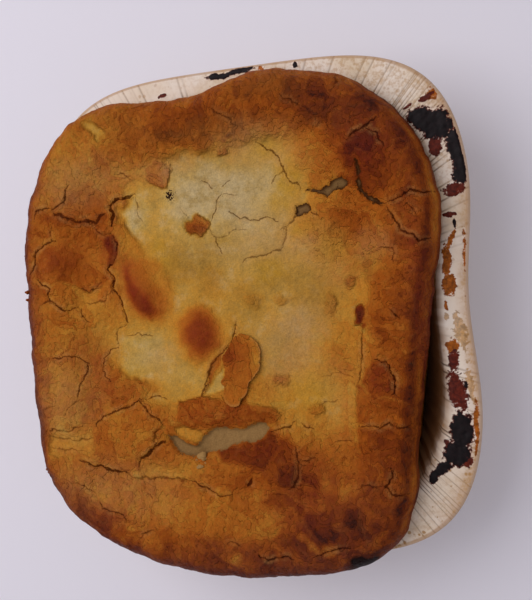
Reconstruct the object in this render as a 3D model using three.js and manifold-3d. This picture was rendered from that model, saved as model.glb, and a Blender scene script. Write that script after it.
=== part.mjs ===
// Scouse pie baked in its own pressed-board tray.
// Millimetres, +Z up. Places are measured from the middle of the tray's floor, then the whole is
// moved so that the origin lies under the middle of its box, on the surface that it stands on.
import * as THREE from 'three';
import { mergeVertices } from 'three/addons/utils/BufferGeometryUtils.js';
import loadManifold from 'manifold-3d';

const wasm = await loadManifold();
wasm.setup();

// Tray: half widths along X and Y, and how square each outline is (2 is an ellipse)
const FLANGE_OUTSIDE = { halfX: 82, halfY: 89, power: 4.2 };
const OPENING = { halfX: 71.5, halfY: 79, power: 3.3 };
const FLOOR = { halfX: 58, halfY: 65, power: 3.3 };
const FLANGE_Z = 37;
const BOARD = 1;
const LIP_DROP = 3;
const HEEL = 3;
const FLANGE_BEND = 2;
const SIDE_WAIST = 3.2;
const WAIST_REACH = 46;
const PLEAT_DEPTH = 0.35;
const TRAY_SEGMENTS = 136;
const CORNER_CROWDING = 0.12;

// Lid of the pie: its edge, anticlockwise from the right-hand side
const LID_EDGE = [
  [72, 30], [67, 52], [57, 67], [43, 78], [26, 83], [8, 85], [-16, 79], [-33, 79], [-50, 80],
  [-67, 74], [-79, 60], [-86, 42], [-88, 14], [-87, -22], [-83, -57], [-74, -73], [-58, -84.5],
  [-30, -94.5], [8, -96], [34, -92.5], [50, -84.5], [58, -68], [60, -48], [64, -22], [69, 8],
];
const LID_MIDDLE = new THREE.Vector2(-9, -4);
const LID_SEGMENTS = 104;
const LID_EDGE_RISE = 3;
const LID_EDGE_ROUND = 0.8;
const RIM_Z = 50;
const SHOULDER = 8;
const RIM_WIDTH = 15;
const CENTRE_SINK = 3.2;
const LID_RINGS = 18;
const RING_CROWDING = 1.25;
const RIPPLE = 0.45;
const RIPPLE_LENGTH = 27;
const RIPPLE_SLANT = 0.4;
const BODY_INSET = 2.5;
const CLEARANCE = 0.7;

// Blisters, lumps and lifted plates of crust: place, half sizes, rise and turn in degrees
const BLISTERS = [
  { x: -69, y: 21, halfX: 14, halfY: 9, rise: 2.2, turn: 0 },
  { x: -38, y: 10, halfX: 8, halfY: 15, rise: 3, turn: 22 },
  { x: -16, y: -9, halfX: 10, halfY: 11, rise: 3, turn: 0 },
  { x: -5, y: -36, halfX: 26, halfY: 7, rise: 2.4, turn: 4 },
  { x: -47, y: -46, halfX: 19, halfY: 15, rise: 1.8, turn: 30 },
  { x: 50, y: -27, halfX: 9, halfY: 13, rise: 1.6, turn: 0 },
  { x: 36, y: 29, halfX: 16, halfY: 14, rise: 1.7, turn: 0 },
  { x: 50, y: 54, halfX: 14, halfY: 13, rise: 1.6, turn: 0 },
  { x: 36, y: -68, halfX: 16, halfY: 12, rise: 1.6, turn: 0 },
  { x: 14, y: -57, halfX: 17, halfY: 10, rise: 1.6, turn: 10 },
  { x: -14, y: -74, halfX: 18, halfY: 10, rise: 1.2, turn: 0 },
  { x: -30, y: 64, halfX: 20, halfY: 10, rise: 1, turn: 0 },
];

// Flake of crust that stands up from the middle
const FLAKE = { x: 0, y: -22, halfX: 6.5, halfY: 12.5, rise: 1.8, root: 2, turn: -12 };
const FLAKE_SEGMENTS = 8;

// Cracks: the line that each follows, its width and its depth
const CRACKS = [
  { line: [[-38, 44], [-45, 44], [-49, 41], [-48, 37], [-51, 30]], width: 3, depth: 2.5 },
  { line: [[-52, 29], [-50, 18], [-46, 6], [-45, -7], [-55, -14], [-56, -19]], width: 3, depth: 2.5 },
  { line: [[-72, 41], [-60, 37], [-53, 35]], width: 2.5, depth: 2 },
  { line: [[-76, -14], [-66, -15], [-61, -17], [-63, -24], [-68, -33]], width: 2.2, depth: 2 },
  { line: [[-59, -41], [-54, -37], [-44, -32], [-33, -30]], width: 2.2, depth: 2 },
  { line: [[-40, -32], [-35, -37], [-31, -43], [-36, -50], [-45, -60]], width: 2.4, depth: 2.2 },
  { line: [[-66, -53], [-55, -56], [-45, -60], [-29, -61], [-12, -67]], width: 2.8, depth: 2.4 },
  { line: [[-2, -3], [-4, -12], [-11, -18], [-15, -29]], width: 2.6, depth: 2 },
  { line: [[26, 40], [34, 38], [42, 41]], width: 4, depth: 2.2 },
  { line: [[46, 48], [45, 41], [53, 32], [63, 37], [71, 35]], width: 3.4, depth: 2.4 },
  { line: [[55, 31], [59, 24], [64, 20], [71, 21]], width: 2.2, depth: 2 },
  { line: [[16, 55], [18, 47], [26, 40], [23, 34], [17, 27]], width: 2, depth: 1.8 },
  { line: [[-64, 51], [-67, 44], [-78, 42]], width: 1.8, depth: 1.6 },
  { line: [[44, -8], [43, -18], [43, -28]], width: 1.8, depth: 1.6 },
  { line: [[41, -42], [51, -41], [59, -42]], width: 2, depth: 1.8 },
  { line: [[-31, -46], [-22, -50], [-9, -47], [8, -43]], width: 9, depth: 4 },
];
const CRACK_STEP = 4;
const CRACK_TAPER = 7;
const CUTTER_LIFT = 2;
const MERGE_DISTANCE = 1e-3;

const BAKED_CRUST = new THREE.MeshStandardMaterial({ color: '#a2682c', roughness: 0.55, metalness: 0 });
const PRESSED_BOARD = new THREE.MeshStandardMaterial({ color: '#d8c2a3', roughness: 0.75, metalness: 0 });

// Point at an angle on a squared ellipse whose long sides are drawn in at their middles
function onOutline({ halfX, halfY, power }, angle) {
  const cos = Math.cos(angle);
  const sin = Math.sin(angle);
  const radius = (Math.abs(cos / halfX) ** power + Math.abs(sin / halfY) ** power) ** (-1 / power);
  const point = new THREE.Vector2(radius * cos, radius * sin);
  const waist = SIDE_WAIST * (1 - THREE.MathUtils.smoothstep(Math.abs(point.y), 0, WAIST_REACH));
  point.x -= waist * cos;
  return point;
}

function grown(outline, by) {
  return { ...outline, halfX: outline.halfX + by, halfY: outline.halfY + by };
}

// Inside of the tray's slanted wall at a height
function wallOutline(z) {
  const rise = z / FLANGE_Z;
  return {
    halfX: THREE.MathUtils.lerp(FLOOR.halfX, OPENING.halfX, rise),
    halfY: THREE.MathUtils.lerp(FLOOR.halfY, OPENING.halfY, rise),
    power: OPENING.power,
  };
}

// Only positions, shared vertices merged, and no triangle that has shrunk to a line at a pole
function closed(geometry) {
  geometry.deleteAttribute('normal');
  geometry.deleteAttribute('uv');
  const merged = mergeVertices(geometry, MERGE_DISTANCE);
  const corners = merged.index.array;
  const kept = [];
  for (let first = 0; first < corners.length; first += 3) {
    const [a, b, c] = corners.slice(first, first + 3);
    if (a !== b && b !== c && c !== a) kept.push(a, b, c);
  }
  merged.setIndex(kept);
  return merged;
}

// A lathe whose rings are pulled out to their own outlines: each ring gives a point per segment
function moulded(rings, segments) {
  const last = rings.length - 1;
  const profile = rings.map((ring, row) => new THREE.Vector2(row % last === 0 ? 0 : 1, row));
  const geometry = new THREE.LatheGeometry(profile, segments);
  const position = geometry.attributes.position;
  for (let segment = 0; segment <= segments; segment += 1) {
    rings.forEach((ring, row) => {
      const { x, y, z } = ring(segment % segments);
      position.setXYZ(segment * rings.length + row, x, y, z);
    });
  }
  return closed(geometry);
}

function solidOf(geometry) {
  const vertProperties = new Float32Array(geometry.attributes.position.array);
  const triVerts = new Uint32Array(geometry.index.array);
  return new wasm.Manifold(new wasm.Mesh({ numProp: 3, vertProperties, triVerts }));
}

function geometryOf(solid) {
  const { vertProperties, triVerts } = solid.getMesh();
  const geometry = new THREE.BufferGeometry();
  geometry.setAttribute('position', new THREE.BufferAttribute(vertProperties, 3));
  geometry.setIndex(new THREE.BufferAttribute(triVerts, 1));
  return geometry;
}

// Tray: floor, slanted wall, flat flange and turned-down lip, pleated where the corners gather
function trayGeometry() {
  const angleAt = (segment) => {
    const even = (segment / TRAY_SEGMENTS) * 2 * Math.PI;
    return even + CORNER_CROWDING * Math.sin(4 * even);
  };
  const pleat = (segment) => {
    const corner = Math.sin(2 * angleAt(segment)) ** 4;
    return PLEAT_DEPTH * corner * (segment % 2 ? 1 : -1);
  };
  const ring = (outline, z, outward, upward) => (segment) => {
    const flat = onOutline(grown(outline, pleat(segment) * outward), angleAt(segment));
    return new THREE.Vector3(flat.x, flat.y, z + pleat(segment) * upward);
  };
  const axis = (z) => () => new THREE.Vector3(0, 0, z);
  const wall = (z, offset) => ring(grown(wallOutline(z), offset), z, 1, 0);
  const halfWay = FLANGE_Z / 2;
  const flange = (offset, z, upward) => ring(grown(FLANGE_OUTSIDE, offset), z, 0, upward);
  return moulded([
    axis(0),
    ring(grown(FLOOR, -HEEL), 0, 0, 0),
    wall(HEEL, BOARD),
    wall(halfWay, BOARD),
    wall(FLANGE_Z - FLANGE_BEND, BOARD),
    ring(grown(OPENING, FLANGE_BEND), FLANGE_Z - BOARD, 0, 1),
    flange(-BOARD, FLANGE_Z - BOARD, 1),
    flange(-BOARD, FLANGE_Z - LIP_DROP, 0),
    flange(0, FLANGE_Z - LIP_DROP, 0),
    flange(0, FLANGE_Z, 1),
    ring(grown(OPENING, FLANGE_BEND), FLANGE_Z, 0, 1),
    wall(FLANGE_Z - FLANGE_BEND, 0),
    wall(halfWay, 0),
    wall(HEEL, 0),
    ring(grown(FLOOR, -HEEL), BOARD, 0, 0),
    axis(BOARD),
  ], TRAY_SEGMENTS);
}

// Smooth dome that is 1 in the middle of an ellipse and 0 at its edge
function dome({ x, y, halfX, halfY, turn }, place) {
  const away = new THREE.Vector2(place.x - x, place.y - y);
  away.rotateAround(new THREE.Vector2(), -THREE.MathUtils.degToRad(turn));
  const reach = (away.x / halfX) ** 2 + (away.y / halfY) ** 2;
  return reach < 1 ? (1 - reach) ** 2 : 0;
}

const lidUnder = FLANGE_Z + CLEARANCE;
const lidEdgeZ = lidUnder + LID_EDGE_RISE;
const lidCurve = new THREE.CatmullRomCurve3(
  LID_EDGE.map(([x, y]) => new THREE.Vector3(x, y, 0)), true, 'centripetal');
const lidEdge = lidCurve.getSpacedPoints(LID_SEGMENTS).map(({ x, y }) => new THREE.Vector2(x, y));

// Distance in from the lid's edge, measured on the spoke through a place
function edgeDistance(place) {
  const spoke = place.clone().sub(LID_MIDDLE);
  const angle = spoke.angle();
  const turnAway = (point) => Math.abs(Math.sin((point.clone().sub(LID_MIDDLE).angle() - angle) / 2));
  const nearest = lidEdge.reduce((best, point) => (turnAway(point) < turnAway(best) ? point : best));
  return nearest.distanceTo(LID_MIDDLE) - spoke.length();
}

// Top of the lid: round shoulder, browned rim, sunken middle, ripples and blisters
function lidHeight(place, edge) {
  const shoulder = Math.sqrt(1 - (1 - THREE.MathUtils.clamp(edge / SHOULDER, 0, 1)) ** 2);
  let z = THREE.MathUtils.lerp(lidEdgeZ, RIM_Z, shoulder);
  z -= CENTRE_SINK * THREE.MathUtils.smoothstep(edge, RIM_WIDTH, 2 * RIM_WIDTH);
  const wave = (2 * Math.PI) / RIPPLE_LENGTH;
  const across = Math.sin(wave * (place.x + RIPPLE_SLANT * place.y));
  const along = Math.sin(wave * (place.y - RIPPLE_SLANT * place.x));
  z += RIPPLE * shoulder * across * along;
  for (const blister of BLISTERS) z += blister.rise * dome(blister, place);
  return z;
}

// Body down in the tray, clear of its wall, under a lid that laps over the flange
function pieGeometry() {
  const spokes = lidEdge.slice(0, LID_SEGMENTS);
  const body = (segment, z) => {
    const tip = spokes[segment];
    const inside = onOutline(grown(wallOutline(z), -CLEARANCE), tip.angle());
    const reach = Math.min(inside.length(), tip.length() - BODY_INSET);
    return tip.clone().setLength(reach);
  };
  const bodyRing = (z) => (segment) => {
    const flat = body(segment, z);
    return new THREE.Vector3(flat.x, flat.y, z);
  };
  const lidRing = (inset, z) => (segment) => {
    const tip = spokes[segment];
    const flat = tip.clone().setLength(tip.length() - inset);
    return new THREE.Vector3(flat.x, flat.y, z);
  };
  const topRing = (number) => (segment) => {
    const spoke = spokes[segment].clone().sub(LID_MIDDLE);
    const inset = spoke.length() * (number / LID_RINGS) ** RING_CROWDING;
    const place = spoke.clone().setLength(spoke.length() - inset).add(LID_MIDDLE);
    return new THREE.Vector3(place.x, place.y, lidHeight(place, inset));
  };
  const topRings = Array.from({ length: LID_RINGS - 1 }, (unused, ring) => topRing(ring + 1));
  const bottom = BOARD + CLEARANCE;
  const middleTop = lidHeight(LID_MIDDLE, edgeDistance(LID_MIDDLE));
  return moulded([
    () => new THREE.Vector3(0, 0, bottom),
    (segment) => {
      const flat = body(segment, HEEL).multiplyScalar(1 - HEEL / FLOOR.halfX);
      return new THREE.Vector3(flat.x, flat.y, bottom);
    },
    bodyRing(HEEL + BOARD),
    bodyRing(FLANGE_Z / 2),
    bodyRing(FLANGE_Z - FLANGE_BEND),
    (segment) => {
      const flat = body(segment, FLANGE_Z - FLANGE_BEND);
      return new THREE.Vector3(flat.x, flat.y, lidUnder);
    },
    lidRing(LID_EDGE_ROUND, lidUnder + LID_EDGE_ROUND),
    lidRing(0, lidEdgeZ),
    ...topRings,
    () => new THREE.Vector3(LID_MIDDLE.x, LID_MIDDLE.y, middleTop),
  ], LID_SEGMENTS);
}

// Bends a flat piece that was made around height 0 on to the lid
function laidOnLid(geometry, raise) {
  const position = geometry.attributes.position;
  for (let vertex = 0; vertex < position.count; vertex += 1) {
    const place = new THREE.Vector2(position.getX(vertex), position.getY(vertex));
    const surface = lidHeight(place, edgeDistance(place));
    position.setZ(vertex, position.getZ(vertex) + surface + raise(place));
  }
  return closed(geometry);
}

// Wedge along a crack's line, which comes up out of the lid at both ends
function crackCutter({ line, width, depth }) {
  const path = new THREE.CatmullRomCurve3(line.map(([x, y]) => new THREE.Vector3(x, y, 0)));
  const spread = (width / 2) * (1 + CUTTER_LIFT / depth);
  const wedge = new THREE.Shape([
    new THREE.Vector2(depth, 0),
    new THREE.Vector2(-CUTTER_LIFT, spread),
    new THREE.Vector2(-CUTTER_LIFT, -spread),
  ]);
  const steps = Math.ceil(path.getLength() / CRACK_STEP);
  const sweep = new THREE.ExtrudeGeometry(wedge, { steps, extrudePath: path, bevelEnabled: false });
  const ends = [line[0], line[line.length - 1]].map(([x, y]) => new THREE.Vector2(x, y));
  return laidOnLid(sweep, (place) => {
    const toEnd = Math.min(...ends.map((end) => end.distanceTo(place)));
    return (depth + CUTTER_LIFT) * Math.max(0, 1 - toEnd / CRACK_TAPER);
  });
}

// Tongue of crust that is joined to the lid along its underside
function flakeGeometry() {
  const { x, y, halfX, halfY, rise, root, turn } = FLAKE;
  const tongue = new THREE.Shape();
  tongue.absellipse(x, y, halfX, halfY, 0, 2 * Math.PI, false, THREE.MathUtils.degToRad(turn));
  const plate = new THREE.ExtrudeGeometry(
    tongue, { depth: rise + root, bevelEnabled: false, curveSegments: FLAKE_SEGMENTS });
  return laidOnLid(plate, () => -root);
}

function crackedPie() {
  const whole = solidOf(pieGeometry()).add(solidOf(flakeGeometry()));
  const cracked = CRACKS.reduce((solid, crack) => solid.subtract(solidOf(crackCutter(crack))), whole);
  return geometryOf(cracked);
}

function named(name, geometry, material) {
  const mesh = new THREE.Mesh(geometry, material);
  mesh.name = name;
  return mesh;
}

const pieInTray = new THREE.Group();
pieInTray.add(named('tray', trayGeometry(), PRESSED_BOARD));
pieInTray.add(named('pie', crackedPie(), BAKED_CRUST));
const middle = new THREE.Box3().setFromObject(pieInTray).getCenter(new THREE.Vector3());
pieInTray.position.set(-middle.x, -middle.y, 0);

const part = new THREE.Group();
part.add(pieInTray);

export default part;
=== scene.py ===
# Looks of a scouse pie in its own pressed-board tray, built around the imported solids.
# Sizes and places are in millimetres from the middle of the tray's floor, +Z up, unless they say otherwise.
import math

import bpy
import numpy as np
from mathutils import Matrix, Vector, noise


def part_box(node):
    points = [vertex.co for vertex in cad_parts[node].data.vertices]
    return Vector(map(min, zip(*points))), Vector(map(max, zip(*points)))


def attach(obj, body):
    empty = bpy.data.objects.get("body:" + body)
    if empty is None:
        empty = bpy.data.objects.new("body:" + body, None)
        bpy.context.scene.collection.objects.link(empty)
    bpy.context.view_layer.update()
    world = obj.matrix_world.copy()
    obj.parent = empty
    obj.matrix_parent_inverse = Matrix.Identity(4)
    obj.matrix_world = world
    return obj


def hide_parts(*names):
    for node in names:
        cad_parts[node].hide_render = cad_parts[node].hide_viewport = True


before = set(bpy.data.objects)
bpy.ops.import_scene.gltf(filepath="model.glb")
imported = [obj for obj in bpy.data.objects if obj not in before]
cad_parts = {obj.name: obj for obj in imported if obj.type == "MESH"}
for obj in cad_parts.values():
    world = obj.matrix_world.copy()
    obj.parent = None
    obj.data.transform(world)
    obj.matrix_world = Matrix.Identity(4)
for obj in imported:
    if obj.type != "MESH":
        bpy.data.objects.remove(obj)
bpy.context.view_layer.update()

MM = 0.001
tray_low, tray_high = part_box("tray")
TRAY_MIDDLE = (tray_low + tray_high) / 2

# Tray: half widths along X and Y and squareness of each outline, then heights and thicknesses
FLANGE_OUTSIDE = (82, 89, 4.2)
OPENING = (71.5, 79, 3.3)
FLOOR = (58, 65, 3.3)
FLANGE_Z = 37
BOARD = 1
LIP_DROP = 3
LIP_BEND = 0.6
HEEL = 3
FLANGE_BEND = 2
SIDE_WAIST = 3.2
WAIST_REACH = 46
CORNER_CROWDING = 0.12
PLEAT_DEPTH = 0.35
PLEATS = 68
CREASE_DEPTH = 0.3
# Points round the tray and rows of them, and how far round the bends of heel and flange have rows
TRAY_COLUMNS = 1200
OUTER_WALL_ROWS = 6
FLANGE_ROWS = 22
INNER_WALL_ROWS = 8
HEEL_TURNS = (0.33, 0.66, 1)
FLANGE_TURNS = (0.35, 0.7, 1)

# Lid: its edge, anticlockwise from the right-hand side, then its heights
LID_EDGE = [
    (72, 30), (67, 52), (57, 67), (43, 78), (26, 83), (8, 85), (-16, 79), (-33, 79), (-50, 80), (-67, 74),
    (-79, 60), (-86, 42), (-88, 14), (-87, -22), (-83, -57), (-74, -73), (-58, -84.5), (-30, -94.5),
    (8, -96), (34, -92.5), (50, -84.5), (58, -68), (60, -48), (64, -22), (69, 8),
]
LID_MIDDLE = (-9, -4)
CLEARANCE = 0.7
LID_UNDER = FLANGE_Z + CLEARANCE
LID_EDGE_Z = LID_UNDER + 3
RIM_Z = 50
SHOULDER = 8
RIM_WIDTH = 15
CENTRE_SINK = 3.2
RIPPLE = 0.45
RIPPLE_LENGTH = 27
RIPPLE_SLANT = 0.4
BODY_INSET = 2.5
TUCK = 2
LID_GRID = 300
EDGE_WANDER = 0.7

# Blisters, lumps and lifted plates of crust: x, y, half width, half length, turn in degrees, rise
BLISTERS = [
    (-69, 21, 14, 9, 0, 2.2), (-38, 10, 8, 15, 22, 3), (-16, -9, 10, 11, 0, 3), (-5, -36, 26, 7, 4, 2.4),
    (-47, -46, 19, 15, 30, 1.8), (50, -27, 9, 13, 0, 1.6), (36, 29, 16, 14, 0, 1.7),
    (50, 54, 14, 13, 0, 1.6), (36, -68, 16, 12, 0, 1.6), (14, -57, 17, 10, 10, 1.6),
    (-14, -74, 18, 10, 0, 1.2), (-30, 64, 20, 10, 0, 1),
]

# Gap left by the flake that stands up
FLAKE_GAP = [
    (-3.5, -11), (-6.5, -14), (-9.5, -16.5), (-12, -19), (-13.5, -23.5), (-15, -27.5), (-16.5, -31),
    (-15, -29), (-13.2, -26), (-11.8, -23.5), (-10.3, -21), (-8.8, -19.5), (-7.8, -15.5),
]

# Cracks: width, depth, darkness (painted shade down in the crack), rise of the crust on the left of the line
# (on its right if negative), line
CRACKS = [
    (1.7, 1.3, 0.95, -0.6, [(-38.5, 44.5), (-42.5, 43.5), (-46, 43.5), (-49.5, 41), (-48, 38.5),
                            (-49, 33)]),
    (2.3, 0.9, 0.75, 0.5, [(-72, 40.5), (-67.5, 38.5), (-63, 36), (-59, 36.5), (-55, 35), (-53.5, 37.5),
                           (-51, 38.5)]),
    (1.1, 0.6, 0.5, 0.6, [(-56.5, 33.5), (-52, 30.5), (-48.5, 30.5)]),
    (0.9, 0.5, 0.6, 0.6, [(-48.5, 30.5), (-46.5, 27), (-47, 22.5), (-49, 19.5)]),
    (1.8, 1.4, 0.95, 0.7, [(-49, 19.5), (-51.5, 17.5), (-48.5, 13.5), (-49.5, 10.5), (-47.5, 8)]),
    (1.6, 1.2, 0.85, 0.6, [(-47.5, 8), (-46, 3.5), (-45, 0), (-44.5, -3)]),
    (0.8, 0.3, 0.6, 0, [(-44.5, -3), (-48.5, -5), (-49, -9), (-48, -11.5)]),
    (0.7, 0.3, 0.5, 0, [(-73, 36), (-73, 30)]),
    (0.8, 0.3, 0.75, 0, [(-44.5, -7.5), (-43, -7.5), (-40, -6.5), (-37, -7.5), (-34.5, -8)]),
    (0.9, 0.4, 0.8, 0.3, [(-48, -11.5), (-52, -12.5), (-55, -15.5), (-56, -20), (-52.5, -24.5)]),
    (0.9, 0.4, 0.8, 0.3, [(-75.5, -15), (-69, -14), (-64.5, -15), (-61.5, -17), (-62, -21), (-65, -25.5),
                          (-66, -30.5)]),
    (0.8, 0.3, 0.6, 0.2, [(-66, -30.5), (-69.5, -33.5), (-70.5, -36)]),
    (1, 0.5, 0.9, 0.4, [(-80, 15.5), (-78, 13), (-74.5, 11.5), (-75.5, 9.5), (-74.5, 7), (-71.5, 4.5),
                        (-69, 3), (-64, 4)]),
    (0.8, 0.3, 0.7, 0, [(-74.5, 7), (-78, 6)]),
    (0.8, 0.3, 0.75, 0.2, [(-63, 11), (-60, 9.5), (-57.5, 10.5), (-54, 13)]),
    (0.8, 0.3, 0.75, 0, [(-63, 4), (-63, 1), (-61, -1.5), (-59.5, -2)]),
    (0.8, 0.4, 0.5, 0.3, [(-49.5, 10), (-52.5, 8), (-53.5, 5.5), (-62, 5.5)]),
    (1, 0.5, 0.85, -0.4, [(-64.5, 50.5), (-66, 49), (-67, 44), (-71.5, 41.5), (-74.5, 42), (-78.5, 41.5),
                          (-80, 38)]),
    (1, 0.5, 0.85, -0.3, [(-71, 29.5), (-76, 28.5), (-79, 26), (-80, 22.5), (-81, 20), (-83.5, 17.5)]),
    (0.8, 0.3, 0.65, 0, [(-45.5, 52), (-43, 52.5), (-40, 50)]),
    (0.7, 0.3, 0.6, 0, [(-38, 44), (-38.5, 38), (-36, 34)]),
    (0.7, 0.3, 0.65, 0, [(-12.5, 47), (-9.5, 45.5), (-8, 43.5)]),
    (0.7, 0.3, 0.6, 0, [(-0.5, 46), (-2, 46), (-4.5, 43.5)]),
    (0.9, 0.4, 0.8, 0, [(-4.5, 41.5), (-6, 40.5), (-7, 38), (-7, 36), (-8, 34.5), (-9, 32)]),
    (0.7, 0.3, 0.65, 0, [(-4.5, 41.5), (-1.5, 41), (1.5, 40.5)]),
    (0.9, 0.4, 0.75, 0, [(-2.5, 35), (0.5, 33), (2, 32), (3.5, 32.5), (5, 31.5), (8.5, 31), (12, 32),
                         (14, 31), (16.5, 30)]),
    (0.9, 0.4, 0.65, 0, [(-10, 29.5), (-9, 27.5), (-7.5, 26), (-7, 23), (-5.5, 20)]),
    (0.7, 0.3, 0.45, 0, [(-7.5, 26.5), (-5, 26), (-3, 26.5), (-1.5, 28), (1.5, 28), (4.5, 28)]),
    (0.9, 0.4, 0.6, 0, [(17, 20.5), (14.5, 20), (10, 18.5), (7, 18), (2.5, 17.5), (2, 16)]),
    (1.1, 0.5, 0.5, 0, [(20, 29), (19, 27.5), (18.5, 24), (17, 20.5)]),
    (0.7, 0.3, 0.4, 0, [(-21, 38.5), (-20, 36.5), (-17.5, 33.5)]),
    (0.9, 0.4, 0.8, 0.2, [(9, 59), (12, 57), (15, 55), (17.5, 52), (18, 50), (19, 47.5), (21, 43.5),
                          (24.5, 41.5), (25, 40)]),
    (0.8, 0.3, 0.65, 0, [(19, 47.5), (16, 46), (15, 44.5), (14.5, 43)]),
    (1.1, 0.5, 0.6, 0, [(22.5, 35), (22, 31.5), (20, 29), (19, 28), (16.5, 27)]),
    (0.7, 0.3, 0.8, 0, [(28, 32), (31, 30.5)]),
    (0.7, 0.3, 0.9, 0, [(38, 41.5), (37.5, 39)]),
    (1.1, 0.7, 0.85, 0.3, [(54, 32.5), (57.5, 33.5), (60, 34.5), (63, 36.5), (66, 35.5), (71, 35.5)]),
    (1, 0.6, 0.8, 0.3, [(55, 31.5), (57, 28), (58.5, 25.5), (59, 23), (61.5, 22), (63.5, 21.5), (65, 19),
                        (69, 20)]),
    (0.7, 0.3, 0.65, 0, [(61, 32.5), (64, 30), (65, 27.5)]),
    (0.9, 0.3, 0.7, 0, [(51.5, 18), (56.5, 17.5), (56.5, 12.5)]),
    (1.1, 0.5, 0.85, -0.4, [(53.5, 62), (50.5, 59.5), (47, 58), (44.5, 57), (42.5, 55)]),
    (0.9, 0.5, 0.8, 0.3, [(49.5, 58.5), (53.5, 56.5), (53.5, 55), (55.5, 51.5)]),
    (0.8, 0.3, 0.65, 0.2, [(34, 63), (32.5, 62), (30.5, 60)]),
    (0.7, 0.3, 0.5, 0, [(31, 65), (35, 64)]),
    (1.4, 0.4, 0.5, 0, [(39.5, 78.5), (39.5, 73)]),
    (0.8, 0.3, 0.65, 0.2, [(19.5, 74.5), (21, 71.5), (23.5, 71.5), (27, 68.5)]),
    (0.9, 0.5, 0.75, 0, [(44, -9.5), (43.5, -12.5), (43.5, -16.5), (43, -21), (42.5, -25.5),
                         (41.5, -27.5)]),
    (1.1, 0.6, 0.9, 0.4, [(48, -19.5), (52, -20.5), (54.5, -25.5), (54.5, -29), (53, -32)]),
    (0.7, 0.3, 0.55, 0, [(53.5, -2.5), (57.5, -6.5)]),
    (0.9, 0.5, 0.8, 0.2, [(41, -42), (44.5, -42), (50, -42), (52, -40.5), (54.5, -42.5), (58.5, -42)]),
    (1, 0.5, 0.85, 0.2, [(9, -43.5), (13, -42.5), (16.5, -42.5), (18.5, -40)]),
    (0.8, 0.3, 0.75, 0, [(20.5, -40.5), (22.5, -42.5), (25, -43)]),
    (0.7, 0.2, 0.35, 0, [(28.5, -25), (34, -23.5), (39.5, -25)]),
    (0.7, 0.3, 0.55, 0, [(27.5, -35), (30, -33.5), (34, -33)]),
    (0.7, 0.3, 0.65, 0, [(31.5, -47.5), (35, -47), (38.5, -47)]),
    (0.8, 0.3, 0.75, 0.2, [(18.5, -54), (22.5, -54), (25, -53)]),
    (0.9, 0.5, 0.7, -0.3, [(18, -48.5), (18.5, -52.5), (19, -56), (18, -60.5), (16.5, -63), (14, -64)]),
    (1.1, 0.6, 0.85, -0.5, [(-59.5, -41), (-57.5, -38.5), (-54.5, -36.5), (-49.5, -35), (-45.5, -34),
                            (-42.5, -32), (-39, -31)]),
    (1, 0.5, 0.75, -0.3, [(-39, -31), (-36, -30.5), (-32.5, -30), (-30, -31.5)]),
    (1.1, 0.6, 0.85, -0.4, [(-40.5, -32), (-37, -36.5), (-34.5, -38), (-32, -41)]),
    (1.8, 1, 0.9, -0.9, [(-31.5, -47), (-36, -49), (-38, -51), (-41.5, -53), (-42.5, -56)]),
    (1.1, 0.7, 0.5, -0.6, [(-32, -41), (-35.5, -43.5), (-36, -47.5)]),
    (1.8, 1, 0.9, 0.9, [(-66, -53), (-62, -54.5), (-56.5, -56), (-53, -57.5), (-47.5, -58)]),
    (1.6, 0.7, 0.5, 0.6, [(-47.5, -58), (-45, -60), (-33, -60), (-21.5, -61)]),
    (1, 0.5, 0.8, 0.4, [(-21.5, -61), (-16.5, -63.5), (-11.5, -66.5), (-6.5, -66)]),
    (0.9, 0.4, 0.7, 0.2, [(-68.5, -61.5), (-64, -62.5), (-59.5, -65.5)]),
    (0.9, 0.4, 0.75, 0.2, [(-58.5, -68.5), (-57.5, -71), (-52.5, -72), (-50, -72.5), (-47.5, -75)]),
    (0.9, 0.4, 0.6, 0.3, [(-79.5, -42.5), (-76, -41), (-70, -42.5), (-64.5, -40.5)]),
    (0.8, 0.3, 0.55, 0.3, [(-78.5, -44), (-71.5, -45), (-66, -46), (-60.5, -45)]),
    (0.8, 0.3, 0.45, 0.3, [(-77, -48), (-70, -49), (-63, -50)]),
    (0.8, 0.3, 0.5, 0.2, [(-79.5, -34), (-76.5, -33), (-74, -32.5)]),
    (0.8, 0.3, 0.7, 0, [(-43.5, -81.5), (-40, -79.5), (-36, -79)]),
    (0.8, 0.3, 0.65, 0, [(-8.5, -83), (-6, -82), (-2.5, -83.5)]),
    (1, 0.5, 0.8, 0.3, [(3, -86), (6.5, -88), (14, -86.5), (16.5, -87.5)]),
    (1.1, 0.6, 0.85, 0.3, [(23, -86.5), (28.5, -84.5), (33, -83), (36.5, -83)]),
    (0.8, 0.3, 0.7, 0.2, [(37.5, -63.5), (41, -63), (41.5, -62), (48.5, -62)]),
    (1, 0.5, 0.8, 0.2, [(51.5, -56), (52, -59), (49.5, -62), (51.5, -65), (57, -65)]),
    (0.8, 0.3, 0.4, 0.3, [(-8, 73), (0, 68), (4, 64)]),
    (2.1, 0.9, 0.95, 0, [(1, -60), (0.5, -61.5), (-1, -63)]),
    (1.1, 0.5, 0.7, -0.5, [(-1.5, -4), (-2, -7), (-3, -9.5), (-3.5, -11)]),
    (1, 0.3, 0.75, 0, FLAKE_GAP[:7]),
]
# How far a crack tapers, is felt and draws points on to its line, and the steps and wander of that line
CRACK_TAPER = 4
CRACK_REACH = 3
CRACK_SNAP = 0.31
CRACK_STEP = 1.5
CRACK_WANDER = 0.32
LIFT_REACH = 4

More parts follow.
